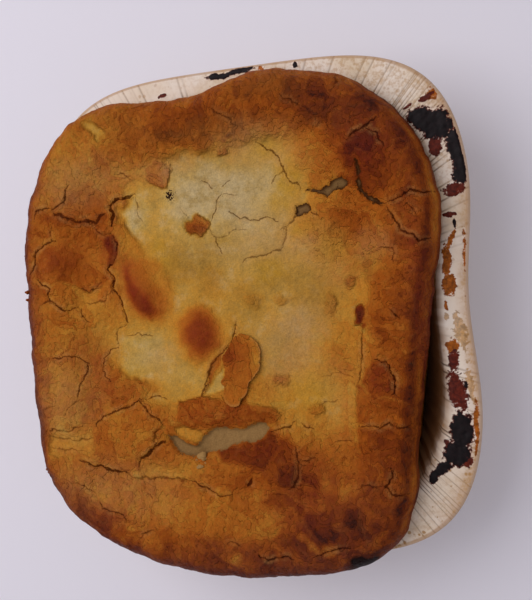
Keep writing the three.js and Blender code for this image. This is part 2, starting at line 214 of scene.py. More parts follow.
# Gaps where the crust has drawn apart: depth, shade of the dough that shows in it (0 if none does), outline
GAPS = [
    (1, 0.58, [(26, 40), (29, 40.5), (32, 39.5), (35, 41), (37, 43), (39.5, 43.5), (42, 41.5), (40.5, 39.5),
               (37.5, 39), (35.5, 37.5), (34, 36.5), (32, 38), (29, 39)]),
    (0.8, 0.66, [(44.8, 49), (46.3, 48), (46.2, 42), (46.5, 38.5), (50.8, 34.8), (54, 33), (53.6, 31.8),
                 (50.3, 33), (46, 36.8), (44.6, 40), (45, 44)]),
    (0.9, 0.6, [(23, 35), (27.5, 35), (28.5, 32.5), (24.5, 31), (22, 31)]),
    (1.2, 0, FLAKE_GAP),
    (1.8, 0.34, [(-31, -44.5), (-27.5, -45), (-24, -47.5), (-20.5, -48.5), (-15, -46.5), (-13, -50),
                 (-18, -52.6), (-23.5, -52), (-27, -51), (-29, -48)]),
    (1.5, 0.24, [(-20, -49.5), (-17, -45.5), (-13, -42.5), (-9, -42), (-4, -42.5), (-0.5, -42.5),
                 (4, -40.5), (7, -40.5), (8.5, -42.5), (6.5, -45.5), (2, -47.5), (-2.5, -47.5), (-7, -49),
                 (-11, -50.5), (-15.5, -51)]),
]
GAP_REACH = 2
GAP_STEP = 1.2
GAP_WANDER = 0.25

# How far the lid is baked, from 0, pale, to 1, nearly black, painted in this order over the plain tone:
# x, y, half sizes, turn in degrees, tone, cover
BAKE = 0.50
# Tone of the pie's side down in the tray: painted paler, as painted light in the shaded gap by the wall
LIT_SIDE_BAKE = 0.38
BAKE_LAYERS = [
    (-2, 36, 34, 24, 0, 0.14, 1), (-6, 12, 32, 26, 0, 0.25, 0.9), (15, 14, 28, 26, 0, 0.27, 0.9),
    (22, -12, 24, 24, 0, 0.31, 0.9), (30, -34, 16, 10, 0, 0.33, 0.8), (-40, -12, 17, 9, -8, 0.17, 0.95),
    (-40, 36, 7, 9, 0, 0.04, 0.95), (-24, -26, 14, 9, 0, 0.27, 0.9), (-28, 14, 7, 16, 20, 0.32, 0.7),
    (12, 8, 9, 12, 0, 0.29, 0.7), (34, -14, 9, 12, 0, 0.4, 0.7), (42, 6, 10, 12, 0, 0.39, 0.8),
    (8, 56, 16, 8, -15, 0.3, 0.8), (20, 60, 10, 5, -10, 0.4, 0.7), (31, 50, 8, 9, 0, 0.5, 0.8),
    (33, 42, 4, 5, 0, 0.58, 0.7), (-62, 56, 18, 14, 0, 0.44, 0.8), (-55, 70, 5, 4, 30, 0.36, 0.6),
    (-47, 58, 7, 5, 0, 0.57, 0.6), (-16, 66, 28, 8, 2, 0.75, 0.9), (-20, 77, 34, 5, 3, 0.64, 0.8),
    (14, 74, 26, 11, -4, 0.75, 0.9), (34, 70, 18, 10, -25, 0.84, 0.9), (52, 60, 15, 13, -45, 0.85, 0.9),
    (47, 51, 11, 11, 0, 0.84, 0.7), (61, 47, 8, 11, 0, 0.76, 0.9), (51, 42, 6, 8, 0, 0.84, 0.8),
    (37, 27, 16, 12, 0, 0.58, 0.8), (45, 20, 10, 7, 0, 0.5, 0.7), (65, 8, 9, 46, 3, 0.76, 0.9),
    (58, -40, 8, 26, 3, 0.74, 0.9), (53, -52, 9, 12, 0, 0.8, 0.8), (-57, 18, 10, 14, 0, 0.58, 0.7),
    (-60, 34, 15, 9, 0, 0.7, 0.8), (-15, -9, 11, 12, 0, 0.38, 0.95), (-16, -8.8, 7.6, 8.2, 0, 0.54, 0.95),
    (-85, -8, 6, 60, 0, 0.64, 0.85), (-62, -20, 14, 10, 0, 0.56, 0.6), (-68, -28, 6, 4, 0, 0.42, 0.5),
    (-51, -28, 11, 6, 0, 0.64, 0.75), (-71, -44, 11, 6, 0, 0.42, 0.7), (-45, -43, 15, 10, 20, 0.57, 0.8),
    (-40, -66, 26, 8, 0, 0.47, 0.7), (-73, -64, 7, 9, 20, 0.74, 0.85), (-55, -78, 16, 6, -25, 0.76, 0.85),
    (-25, -86, 28, 7, 0, 0.7, 0.8), (14, -60, 9, 13, 0, 0.8, 0.85), (32, -68, 24, 16, 0, 0.71, 0.9),
    (52, -68, 9, 12, 0, 0.82, 0.8), (35, -62, 5, 4, 0, 0.6, 0.7), (34, -81, 22, 8, 0, 0.87, 0.9),
    (-6, -62, 9, 5, 0, 0.6, 0.7), (-4, -72, 14, 8, 0, 0.54, 0.7), (12, -88, 28, 5, 0, 0.8, 0.85),
    (3, 3, 4, 3.5, 0, 0.5, 0.6), (-58, 42, 9, 5, 0, 0.66, 0.6), (-80, 31, 6, 6, 0, 0.75, 0.5),
    (51, 41, 7, 7, 0, 0.82, 0.7), (53, -4, 7, 14, 0, 0.68, 0.85), (40, -18, 6, 9, 0, 0.46, 0.6),
    (0, -60, 16, 5, 0, 0.7, 0.6), (10, -70, 7, 6, 0, 0.76, 0.7), (32, -82, 24, 6, 0, 0.92, 0.6),
    (-83, -44, 5, 12, 0, 0.76, 0.6), (-32, -58, 13, 4, 0, 0.36, 0.6), (-71, -47, 10, 5, 0, 0.32, 0.7),
    (-64, -25, 9, 7, 0, 0.48, 0.6), (-40, -19, 10, 5, -10, 0.16, 0.8), (-22, -25, 8, 7, 0, 0.22, 0.7),
    (60, 14, 5, 14, 0, 0.66, 0.7), (-60, 42, 7, 4, 0, 0.72, 0.6), (50, 41, 6, 6, 0, 0.86, 0.6),
    (-10, 11, 7, 5, 0, 0.36, 0.6), (20, -20, 8, 5, 0, 0.38, 0.5), (40, -36, 6, 8, 0, 0.48, 0.5),
    (51, -10, 5, 6, 0, 0.74, 0.6), (10, -60, 7, 5, 0, 0.84, 0.6), (-20, 70, 9, 5, 0, 0.8, 0.6),
    (-60, -80, 8, 4, -25, 0.84, 0.6), (-30, -50, 4, 4, 0, 0.6, 0.6), (-62, 6, 12, 7, 0, 0.46, 0.6),
    (-70, -30, 12, 12, 0, 0.44, 0.5), (-70, -58, 8, 5, 0, 0.46, 0.6), (-80, 50, 5, 6, 0, 0.8, 0.6),
    (-82, -48, 5, 8, 0, 0.86, 0.6), (22, -80, 6, 4, 0, 0.92, 0.6), (50, -80, 7, 5, 0, 0.94, 0.6),
    (0, -51, 8, 4, 0, 0.84, 0.5), (-62, 10, 8, 6, 0, 0.38, 0.6), (-26, -29, 9, 5, 0, 0.34, 0.6),
    (-40, -80, 9, 4, 0, 0.56, 0.5), (-50, -11, 8, 5, 0, 0.36, 0.5), (-48, 42, 6, 4, 0, 0.62, 0.5),
    (-70, 10, 6, 5, 0, 0.6, 0.5), (-80, -40, 5, 6, 0, 0.8, 0.5), (50, 35, 5, 8, 0, 0.78, 0.5),
    (-70, -72, 6, 5, 0, 0.86, 0.6), (-29, -81, 7, 4, 0, 0.8, 0.5), (40, -18, 6, 9, 0, 0.5, 0.5),
    (-10, -90, 9, 3, 0, 0.84, 0.6), (-14, 44, 16, 9, 0, 0.08, 0.5), (-50, 0, 6, 7, 0, 0.4, 0.6),
    (-40, -50, 7, 5, 0, 0.48, 0.5), (-70, -28, 10, 14, 0, 0.4, 0.4), (-42, -80, 8, 4, 0, 0.48, 0.5),
    (50, 40, 5, 5, 0, 0.92, 0.5), (40, -70, 6, 6, 0, 0.64, 0.4), (-60, 8, 6, 6, 0, 0.36, 0.4),
    (-4, 46, 9, 6, 0, 0, 0.8), (-2, 35, 7, 5, 0, 0.02, 0.7), (-15, 40, 6, 6, 0, 0.02, 0.7),
    (12, 43, 6, 5, 0, 0.06, 0.5),
]
# Patches with sharp edges, painted over those in the same way
CRISP_LAYERS = [
    (-63, 37.5, 13, 2.6, 2, 0.77, 0.7), (-14.6, 30.9, 4.2, 4.4, 0, 0.6, 0.95),
    (-15.3, 29.6, 2.8, 2.6, 0, 0.72, 0.9), (-3.5, 56.4, 2.2, 1.6, 25, 0.62, 0.9),
    (-28.4, 50.6, 4.6, 4.6, -20, 0.58, 0.85), (15, 2.5, 3, 2, 0, 0.46, 0.6),
    (33, 0, 1.6, 3.6, 0, 0.52, 0.6), (41, 7, 2, 2, 0, 0.56, 0.7), (14.5, -25.5, 3, 2.2, 0, 0.52, 0.7),
    (25.5, -36.5, 3, 2.4, 0, 0.5, 0.6), (-0.2, 61.4, 0.8, 0.8, 0, 0.95, 0.9),
    (23, -83, 2.4, 2.4, 0, 0.44, 0.75), (-5, -88, 3, 2.4, 0, 0.48, 0.75), (47, -80.5, 4, 3, 0, 0.56, 0.7),
    (20, -80, 2, 2.4, 0, 0.5, 0.7), (28, -84, 2.6, 1.6, 0, 0.46, 0.7),
    (-53.4, 69.8, 1.6, 5.4, 50, 0.24, 0.8), (35, -65, 3, 2, 0, 0.5, 0.7), (8, -76, 6, 4, 30, 0.46, 0.6),
    (-30, -70, 9, 3, 8, 0.42, 0.5),
]
# Plates and patches with an outline of their own, painted next: tone, cover, softness of the edge, outline
PLATES = [
    (0.52, 0.9, 1.8, [(-48, 32.5), (-43.5, 35.5), (-41, 30), (-38, 25.5), (-37.5, 21.5), (-41, 18.5),
                      (-44, 16), (-47, 22), (-46.5, 27)]),
    (0.46, 0.9, 2.4, [(-48, 29.5), (-43.5, 31), (-39.5, 27), (-37, 21.5), (-31, 19), (-27, 14.5),
                      (-25.5, 8), (-25, 2), (-29.5, -2), (-34.5, -3), (-40, -1.5), (-43, 4), (-44.5, 9),
                      (-45.5, 14), (-47, 18), (-46, 23)]),
    (0.61, 0.9, 2.4, [(-46, 21.5), (-42, 21), (-38, 18), (-33.5, 13.5), (-30, 8), (-28, 3), (-30.5, -0.5),
                      (-34.5, -1.5), (-39, 0), (-42.5, 4.5), (-44, 9.5), (-45.5, 15.5)]),
    (0.84, 0.9, 1.8, [(-43, 16), (-41, 14), (-39.5, 11), (-36.5, 8), (-33.5, 4), (-32.5, 0.5), (-35, -1.5),
                      (-39, 1.5), (-41.5, 5), (-43.5, 9.5), (-44, 13.5)]),
    (0.4, 0.9, 2, [(-8.5, -6), (-2.5, -4), (-1.5, -7.5), (-5, -13), (-9, -16.5), (-12, -18.5),
                   (-10.5, -14)]),
    (0.57, 0.95, 2.2, [(-22.5, -2.5), (-19.5, 1), (-15, 1.5), (-11, 0), (-8.5, -3.5), (-8, -8.5),
                       (-9.5, -13), (-12, -16), (-16, -17), (-19.5, -15), (-21.5, -11.5), (-23, -6.5)]),
    (0.75, 0.9, 2, [(-19, -4), (-15.5, -1), (-12, -2), (-10, -5.5), (-10, -10), (-12, -13.5), (-15, -15.5),
                    (-18.5, -13.5), (-20, -9.5), (-20.5, -6)]),
    (0.84, 0.9, 0.8, [(-51.5, 30), (-48, 30), (-46.5, 27), (-47, 22.5), (-49, 19.5), (-51.5, 19),
                      (-50.5, 23), (-52, 26.5)]),
    (0.68, 0.85, 0.7, [(-75, 27.5), (-67, 27), (-63.5, 25), (-60, 23.5), (-58.5, 19.5), (-51, 14),
                       (-54, 12), (-59, 9.5), (-63.5, 11.5), (-66.5, 13.5), (-71, 14.5), (-74, 13),
                       (-80, 16), (-80.5, 20.5), (-78.5, 24)]),
    (0.82, 0.6, 2.6, [(-72, 24), (-66, 23), (-64, 19), (-69, 16), (-74, 19)]),
    (0.58, 0.85, 0.5, [(-59.5, -41), (-54.5, -36.5), (-45.5, -34), (-41, -32.5), (-37, -37), (-32, -41),
                       (-35.5, -44), (-36, -48), (-38, -51), (-42, -53), (-43, -57), (-47.5, -58),
                       (-56.5, -55.5), (-61, -52.5), (-59, -47.5)]),
    (0.63, 0.95, 0.7, [(-26, -32.5), (-19.5, -32), (-17, -31), (-10, -32), (-3, -33.5), (2, -33.5),
                       (6.5, -34), (11, -35.5), (13, -38), (9.5, -41), (4, -40), (-0.5, -42), (-3.5, -42),
                       (-8.5, -41.5), (-13, -42), (-17.5, -42.5), (-22, -41.5), (-26.5, -40)]),
    (0.8, 0.9, 1.4, [(-11, -50.5), (-7, -49), (-2.5, -48), (2, -47.5), (6.5, -46), (8.5, -43.5),
                     (14, -46.5), (18, -49), (17.5, -54.5), (12.5, -54), (5.5, -57), (-3, -55),
                     (-10, -54.5)]),
    (0.88, 0.9, 0.7, [(12, -55), (18.5, -54.5), (19, -56.5), (18, -60.5), (16, -63), (11.5, -62)]),
    (0.76, 0.8, 0.7, [(19, -59), (25.5, -58.5), (25, -66.5), (21, -67), (18, -69), (17.5, -64.5)]),
    (0.74, 0.9, 0.9, [(47, -20), (52, -20.5), (54, -26), (53, -31.5), (46.5, -31), (43.5, -27.5)]),
    (0.64, 0.85, 4.5, [(43, 39.5), (47, 36), (51, 32), (52, 29), (48, 25), (45, 22.5), (40, 22.5), (36, 24),
                       (34, 27), (34, 30), (36, 32.5), (39, 36)]),
    (0.88, 0.85, 1.2, [(42, 55), (45, 56.5), (49.5, 58), (53.5, 56), (55.5, 51), (54.5, 45), (49, 41.5),
                       (48, 47), (44.5, 50.5), (43, 44.5), (40.5, 46.5)]),
    (0.72, 0.8, 0.8, [(41.5, -28), (46, -31), (53, -33), (59, -34), (59, -41), (52, -40), (46, -41.5),
                      (41, -41)]),
    (0.78, 0.85, 0.8, [(40.5, -43.5), (44.5, -43), (58.5, -43), (59, -51), (52, -56), (45.5, -54.5),
                       (41.5, -50)]),
    (0.38, 0.9, 0.7, [(-28, -42), (-23, -41.5), (-18, -43), (-16.5, -45.5), (-19.5, -47.5), (-23, -46.5),
                      (-27, -44.5)]),
    (0.22, 0.9, 0.6, [(-7, -20), (-7.5, -21.5), (-10.5, -24), (-12, -26.5), (-14.5, -29.5), (-11, -29.5),
                      (-7, -29), (-7, -25.5)]),
    (0.94, 0.95, 0.5, [(44.5, -1), (45.8, -2.5), (45.5, -5), (43.6, -6.8), (41.2, -7.6), (42.3, -5.6),
                       (42, -3.6), (43, -2)]),
    (0.85, 0.9, 0.5, [(45, -6.5), (46, -7.5), (44.5, -9), (44, -8)]),
    (0.92, 0.7, 1.6, [(35.5, -70), (40, -69.5), (42, -73), (41, -77.5), (34, -78), (33.5, -74)]),
    (0.6, 0.9, 0.7, FLAKE_GAP),
    (0.26, 0.7, 0.8, [(25, 40.5), (26.5, 38.5), (26.5, 35), (24, 35)]),
]
# Width of a sharp patch's edge, how fast a soft one falls off, and how far patches and plates are frayed
PATCH_EDGE = 0.9
PATCH_FALL = 1.3
FRAY = 1.8
WARP = 2.6
PLATE_FRAY = 0.4

# Tints, as x, y, half sizes, turn in degrees, amount: where the crust has gone red
RED_PATCHES = [
    (-39, 7.5, 5.5, 11, 37, 0.9), (-15.2, -8.4, 5.5, 7.5, 0, 0.9), (-44, 18, 4, 5, 0, 0.5),
    (-59, -13, 9, 10, 0, 0.6), (-48, -29, 11, 6, 0, 0.35), (49, 52, 10, 10, 0, 0.5),
    (-69, 23, 8, 5, 0, 0.4), (64.5, -5, 3, 45, 3, 0.5), (50, -26, 6, 8, 0, 0.6),
    (-56, -76, 12, 5, -30, 0.4), (22, -62, 8, 14, 0, 0.4), (43.5, -5, 2.6, 4, 0, 0.6),
    (-51, 26, 5, 8, 0, 0.7), (-6, -37.5, 20, 4, 0, 0.4), (0, -51, 14, 4, 10, 0.5),
]
# Where it is purplish brown, partly browning and partly painted lilac sheen and shade along the rims and the
# right side, and where the pale middle is dusty and grey, or damp and olive
BROWNING_SHEEN_SHADE_PATCHES = [
    (32, -74, 30, 20, 0, 0.7), (-10, -90, 50, 8, 0, 0.8), (-86, -5, 7, 62, 0, 0.8),
    (66, -20, 7, 60, 3, 0.6), (46, 66, 26, 12, -35, 0.5), (0, 82, 50, 6, 0, 0.3), (-62, -30, 8, 6, 0, 0.4),
    (-70, -68, 10, 10, 0, 0.6),
]
GREY_PATCHES = [
    (7, 29, 16, 12, 0, 0.7), (10, 52, 16, 8, -15, 0.45), (24, -6, 8, 8, 20, 0.5), (16, -14, 11, 12, 0, 0.5),
    (34, -30, 8, 12, 0, 0.15), (-33, -17, 7, 6, 0, 0.6), (-20, 52, 8, 4, 0, 0.5), (-60, 51, 18, 9, 0, 0.32),
    (-32, 52, 10, 5, 0, 0.2), (26, 20, 11, 7, 0, 0.4), (50, 20, 7, 5, 0, 0.25), (34, 11, 9, 6, 0, 0.25),
    (10, 61, 12, 5, 0, 0.3), (-72, -30, 14, 16, 0, 0.25), (-52, -64, 26, 12, 0, 0.22),
    (-12, 45, 14, 8, 0, 0.15),
]
OLIVE_PATCHES = [
    (-15, 20, 13, 7, 5, 0.9), (-20, 14, 8, 7, 0, 0.6), (22, 7, 12, 7, 0, 0.6), (2, 1, 7, 7, 0, 0.7),
    (-9, 11, 7, 5, 0, 0.5), (12, 10, 8, 5, 0, 0.6), (30, 1, 7, 8, 0, 0.5), (14, -12, 8, 7, 0, 0.4),
    (49, 13, 4, 5, 0, 0.6), (12, 18, 9, 5, 0, 0.4), (-4, 52, 10, 4, 0, 0.4), (-8, 63, 34, 6, 0, 0.35),
    (-60, 52, 14, 8, 0, 0.3), (-48, 70, 16, 7, 0, 0.35), (14, 78, 14, 5, 0, 0.3),
]
# Where butter has pooled and baked yellow
YELLOW_PATCHES = [
    (11.5, 56, 6, 5, 0, 0.8), (20, 44, 5, 6, 0, 0.9), (15.5, 36, 4, 4, 0, 0.7), (11, 13, 7, 5, 0, 0.7),
    (23, 28, 6, 4, 0, 0.7), (-6, 26, 6, 3, 0, 0.4), (34, 20, 6, 7, 0, 0.5), (-38, -20, 9, 3, 0, 0.5),
    (-28, 22, 4, 8, 20, 0.6), (24, -30, 10, 7, 0, 0.5),
]
# Where the crust has dark streaks along Y
STREAK_PATCHES = [(28, -68, 22, 15, 0, 1), (-6, -37, 20, 5, 0, 0.8), (-8, -76, 16, 8, 0, 0.5)]
# Where the crust is puffed and smooth, without flakes
SMOOTH_PATCHES = [(-38, 9, 12, 17, 30, 0.85), (-16, -9, 13, 13, 0, 0.85), (-69, 21, 12, 8, 0, 0.4)]
# Where it is burnt black, and the middle and spread of some burnt specks
SCORCH_PATCHES = [(39.8, -88.6, 6.5, 2.8, 25, 1.2), (38, -74, 5, 5, 0, 0.35), (43.5, -5, 1.6, 2.6, 0, 0.4)]
SPECKS = (-24.7, 42.6)
SPECK_SPREAD = 2.6

# Gravy and fat on the flange, as x, y, half sizes, turn in degrees, amount, and how far a blot spreads
BURNT_GRAVY = [
    (67.5, 62, 5.4, 3.8, -20, 1), (71.5, 59.5, 5.6, 5.2, -30, 1), (78, 48.5, 2.7, 9, 16, 1),
    (79, 42, 2.7, 3.4, 0, 1), (75.8, 24.8, 0.5, 2, 0, 0.8), (74.2, -45.5, 3.6, 6, 0, 1),
    (72.3, -52.8, 4.2, 4.6, -20, 1), (66.6, -58.4, 4, 1.8, 30, 1), (63.5, -61.5, 1.2, 2.4, -15, 1),
    (-6, 86.6, 5.4, 1.1, 4, 1), (2, 87.2, 4.6, 1.1, 4, 0.95), (22.2, 86.4, 1.1, 1.1, 0, 1),
    (79, -67, 0.9, 0.6, 0, 1), (76.5, -29.5, 0.6, 1.2, 0, 1),
]
RUSTY_GRAVY = [
    (64.6, 61.4, 1.8, 2.4, 0, 1), (70.6, 51.8, 2.3, 3.2, 0, 1), (76.3, 36.8, 3.8, 2.4, 10, 1),
    (68.5, 69.6, 1, 3.4, -62, 0.95), (80.4, 55, 1, 5, 15, 0.75), (74.5, 28, 2.4, 0.8, 0, 0.95),
    (73, -21.5, 1.8, 3.8, -10, 1), (73.3, -32, 3.2, 7.6, 12, 1), (75.5, -55.6, 1.8, 2.6, 0, 1),
    (68.6, -49.5, 1.2, 1.8, 0, 0.8), (-30, 81.6, 1.9, 0.8, 10, 0.95), (62, 67, 2, 0.7, 40, 0.8),
]
AMBER_GRAVY = [
    (74.2, 19.5, 0.9, 4.2, -24, 0.95), (72.3, 12, 1.7, 6, 0, 1), (72.8, 4.3, 2.1, 4, 0, 1),
    (71.3, -2.5, 0.7, 1.6, 0, 0.9), (72.6, -16.5, 2.3, 2.6, 0, 1), (79.4, -46, 1.2, 11, 0, 0.85),
    (78.6, 8, 0.8, 16, 0, 0.8), (9.8, 87, 1.3, 1, 0, 0.95), (70.5, 70.6, 2.6, 2.6, 0, 0.75),
]
GREASE = [
    (71, -6.5, 0.9, 1.4, 0, 0.95), (74, -6.5, 1.1, 1.7, 0, 0.95), (75.6, -12, 2.4, 6.5, 10, 0.85),
    (78, -30, 1.4, 8, 8, 0.8), (79.5, -56, 1.6, 8, -8, 0.8),
]
BLOT_REACH = 1.35

# Crumbs: x, y, half size, paleness, and how deep the pale ones lie in the split
CRUMBS = [
    (-17.6, -52.6, 1.9, 1), (-16.2, -54.6, 0.9, 1), (-18.5, -56.2, 1.3, 0.8), (-17, -57.4, 0.9, 0.8),
    (-86.5, 11, 0.9, 0), (-86.2, 8, 0.7, 0), (-82, -57.2, 0.8, 0), (-81.6, -58.4, 0.6, 0),
    (-86.3, 25, 0.6, 0), (-20, -53.6, 0.7, 1),
]
CRUMB_SINK = 1

# Flake of crust that stands up from the middle: its edge, thickness, lift, and rise of its free side
FLAKE_EDGE = [
    (-2, -9.5), (0.5, -9), (3, -9.5), (5, -11), (6.5, -13.5), (7, -16.5), (6.5, -21), (5.5, -23),
    (3, -25.5), (2, -27), (1.5, -29.5), (-0.5, -32), (-1.5, -34), (-5, -34), (-6.5, -32.5), (-7.5, -30.5),
    (-7, -27.5), (-8, -25.5), (-7, -24), (-6.5, -22), (-7.5, -17.5), (-6.5, -15.5), (-4.5, -13),
    (-3, -10.5),
]
FLAKE_MIDDLE = (-0.3, -21.5)
FLAKE_GRID = 60
FLAKE_THICK = 0.5
FLAKE_LIFT = 0.2
FLAKE_RISE = 0.7

# Camera: its aim from the middle of the tray's floor, distance, lean towards +X and turn about Z
AIM = (7.76, 2.75, 40)
AIM_DISTANCE = 330
LEAN = math.radians(18)
TURN = math.radians(-3.2254)
LENS = 55

# Light: a window's place, direction and width in metres and its power in watts, and how bright the room is
WINDOW_PLACE = (-0.50, 0.26, 0.78)
WINDOW_DIRECTION = (0.50, -0.26, -0.74)
WINDOW_WIDTH = 0.9
WINDOW_POWER = 5.0
WINDOW_COLOUR = (1.0, 0.95, 1.0)
ROOM_LIGHT = 0.52
STAGE_WIDTH = 6


def smoothstep(value, low, high):
    share = np.clip((value - low) / (high - low), 0, 1)
    return share * share * (3 - 2 * share)


def bell(value, middle, width):
    """1 at the middle, falling off softly to either side."""
    return np.exp(-((value - middle) / width) ** 2)


def fractal(x, y, size, octaves=3, layer=0):
    """Uneven waves between about -1 and 1, whose largest are size millimetres long."""
    places = zip((x / size).tolist(), (y / size).tolist())
    return np.array([noise.fractal((a, b, 7.3 * layer), 1.0, 2.0, octaves) for a, b in places])


def in_ellipse(x, y, place):
    """How far out a point is in a turned ellipse, squared: 0 at its middle and 1 on its edge."""
    middle_x, middle_y, half_x, half_y, turn = place
    cos = math.cos(math.radians(turn))
    sin = math.sin(math.radians(turn))
    across = (cos * (x - middle_x) + sin * (y - middle_y)) / half_x
    along = (cos * (y - middle_y) - sin * (x - middle_x)) / half_y
    return across ** 2 + along ** 2


def soft_patch(x, y, place):
    """1 at the middle of a turned ellipse, falling off softly round its edge."""
    return np.exp(-in_ellipse(x, y, place) ** PATCH_FALL)


def patchwork(patches, x, y):
    total = np.zeros_like(x)
    for *place, amount in patches:
        total += amount * soft_patch(x, y, place)
    return total


def painted(tone, layers, x, y, edge=None):
    """Paints patches of other tones over a tone, one after another, softly or with edges so many mm wide."""
    for *place, patch_tone, cover in layers:
        if edge:
            outside = (np.sqrt(in_ellipse(x, y, place)) - 1) * min(place[2:4])
            mask = 1 - smoothstep(outside, -edge, edge)
        else:
            mask = soft_patch(x, y, place)
        tone = tone + (patch_tone - tone) * cover * mask
    return tone


def nearest_on(line, x, y):
    """Nearest place on a line for each point: distance, place, run along the line and side (left is 1), and
    the line's length."""
    distance = np.full(x.shape, np.inf)
    near_x, near_y, run, side = (np.zeros_like(x) for _ in range(4))
    gone = 0
    for start, end in zip(line[:-1], line[1:]):
        step = end - start
        length = np.hypot(*step)
        share = np.clip(((x - start[0]) * step[0] + (y - start[1]) * step[1]) / length ** 2, 0, 1)
        place_x = start[0] + share * step[0]
        place_y = start[1] + share * step[1]
        away = np.hypot(x - place_x, y - place_y)
        closer = away < distance
        distance[closer] = away[closer]
        near_x[closer] = place_x[closer]
        near_y[closer] = place_y[closer]
        run[closer] = gone + share[closer] * length
        side[closer] = np.sign(step[0] * (y - start[1]) - step[1] * (x - start[0]))[closer]
        gone += length
    return distance, near_x, near_y, run, side, gone


def near_line(line, x, y, margin):
    low = line.min(0) - margin
    high = line.max(0) + margin
    return (x > low[0]) & (x < high[0]) & (y > low[1]) & (y < high[1])


def in_outline(x, y, outline):
    """How far inside a closed outline of straight sides each point lies, negative outside it."""
    line = np.array([*outline, outline[0]], float)
    inside = np.zeros(x.shape, bool)
    for (x0, y0), (x1, y1) in zip(line[:-1], line[1:]):
        if y0 != y1:
            inside ^= ((y0 > y) != (y1 > y)) & (x < x0 + (y - y0) * (x1 - x0) / (y1 - y0))
    return np.where(inside, 1, -1) * nearest_on(line, x, y)[0]


def plated(tone, x, y):
    """Paints the plates over a tone."""
    for plate_tone, cover, edge, outline in PLATES:
        near = np.flatnonzero(near_line(np.array(outline), x, y, edge))
        mask = smoothstep(in_outline(x[near], y[near], outline), -edge, edge)
        tone[near] += (plate_tone - tone[near]) * cover * mask
    return tone


def closed_curve(points, steps):
    """Smooth curve through the points and back to the first one."""
    corners = np.array(points, float)
    share = np.linspace(0, 1, steps, endpoint=False)[:, None]
    stretches = []
    for number in range(len(corners)):
        before, start, end, after = (corners[(number + k) % len(corners)] for k in (-1, 0, 1, 2))
        pairs = ((before, start), (start, end), (end, after))
        d0, d1, d2 = (math.sqrt(np.linalg.norm(b - a)) for a, b in pairs)
        leaving = ((start - before) / d0 - (end - before) / (d0 + d1) + (end - start) / d1) * d1
        arriving = ((end - start) / d1 - (after - start) / (d1 + d2) + (after - end) / d2) * d1
        stretches.append(
            (2 * share ** 3 - 3 * share ** 2 + 1) * start + (share ** 3 - 2 * share ** 2 + share) * leaving
            + (3 * share ** 2 - 2 * share ** 3) * end + (share ** 3 - share ** 2) * arriving)
    return np.concatenate(stretches)


def reach_of(edge, middle):
    """Gives a function of the angle: how far an edge lies from its middle."""
    away = closed_curve(edge, 40) - middle
    angles = np.arctan2(away[:, 1], away[:, 0])
    order = np.argsort(angles)
    reach = np.hypot(away[:, 0], away[:, 1])[order]
    return lambda angle: np.interp(angle, angles[order], reach, period=2 * math.pi)


lid_reach = reach_of(LID_EDGE, LID_MIDDLE)
flake_reach = reach_of(FLAKE_EDGE, FLAKE_MIDDLE)


def lid_height(x, y, edge):
    """Top of the lid, as the solid has it: shoulder, rim, sunken middle, ripples and blisters."""
    shoulder = np.sqrt(1 - (1 - np.clip(edge / SHOULDER, 0, 1)) ** 2)
    z = LID_EDGE_Z + (RIM_Z - LID_EDGE_Z) * shoulder
    z -= CENTRE_SINK * smoothstep(edge, RIM_WIDTH, 2 * RIM_WIDTH)
    wave = 2 * math.pi / RIPPLE_LENGTH
    z += RIPPLE * shoulder * np.sin(wave * (x + RIPPLE_SLANT * y)) * np.sin(wave * (y - RIPPLE_SLANT * x))
    for *place, rise in BLISTERS:
        z += rise * np.clip(1 - in_ellipse(x, y, place), 0, None) ** 2
    return z


def lid_edge_distance(x, y):
    away_x = x - LID_MIDDLE[0]
    away_y = y - LID_MIDDLE[1]
    return lid_reach(np.arctan2(away_y, away_x)) - np.hypot(away_x, away_y)


def jagged(line, draw, step, wander):
    """Breaks a line into short steps that wander to either side of it."""
    points = [np.array(line[0], float)]
    for start, end in zip(line[:-1], line[1:]):
        run = np.subtract(end, start)
        length = np.hypot(*run)
        count = max(1, round(length / step))
        beside = np.array((-run[1], run[0])) / length
        for number in range(1, count + 1):
            aside = np.clip(draw.normal(0, wander), -2 * wander, 2 * wander) if number < count else 0
            points.append(start + run * number / count + beside * aside)
    return np.array(points)


def crack_lines():
    draw = np.random.default_rng(11)
    cracks = []
    for *looks, line in CRACKS:
        cracks.append((jagged(line, draw, CRACK_STEP, CRACK_WANDER), *looks))
    gaps = []
    for *looks, edge in GAPS:
        gaps.append((jagged([*edge, edge[0]], draw, GAP_STEP, GAP_WANDER)[:-1], *looks))
    return cracks, gaps


def snap_to_cracks(x, y, cracks):
    """Moves the points beside a crack on to its line, so that the crack is as sharp as the mesh allows."""
    for line, *_ in cracks:
        near = np.flatnonzero(near_line(line, x, y, 1))
        distance, line_x, line_y, *_ = nearest_on(line, x[near], y[near])
        close = distance < CRACK_SNAP
        x[near[close]] = line_x[close]
        y[near[close]] = line_y[close]


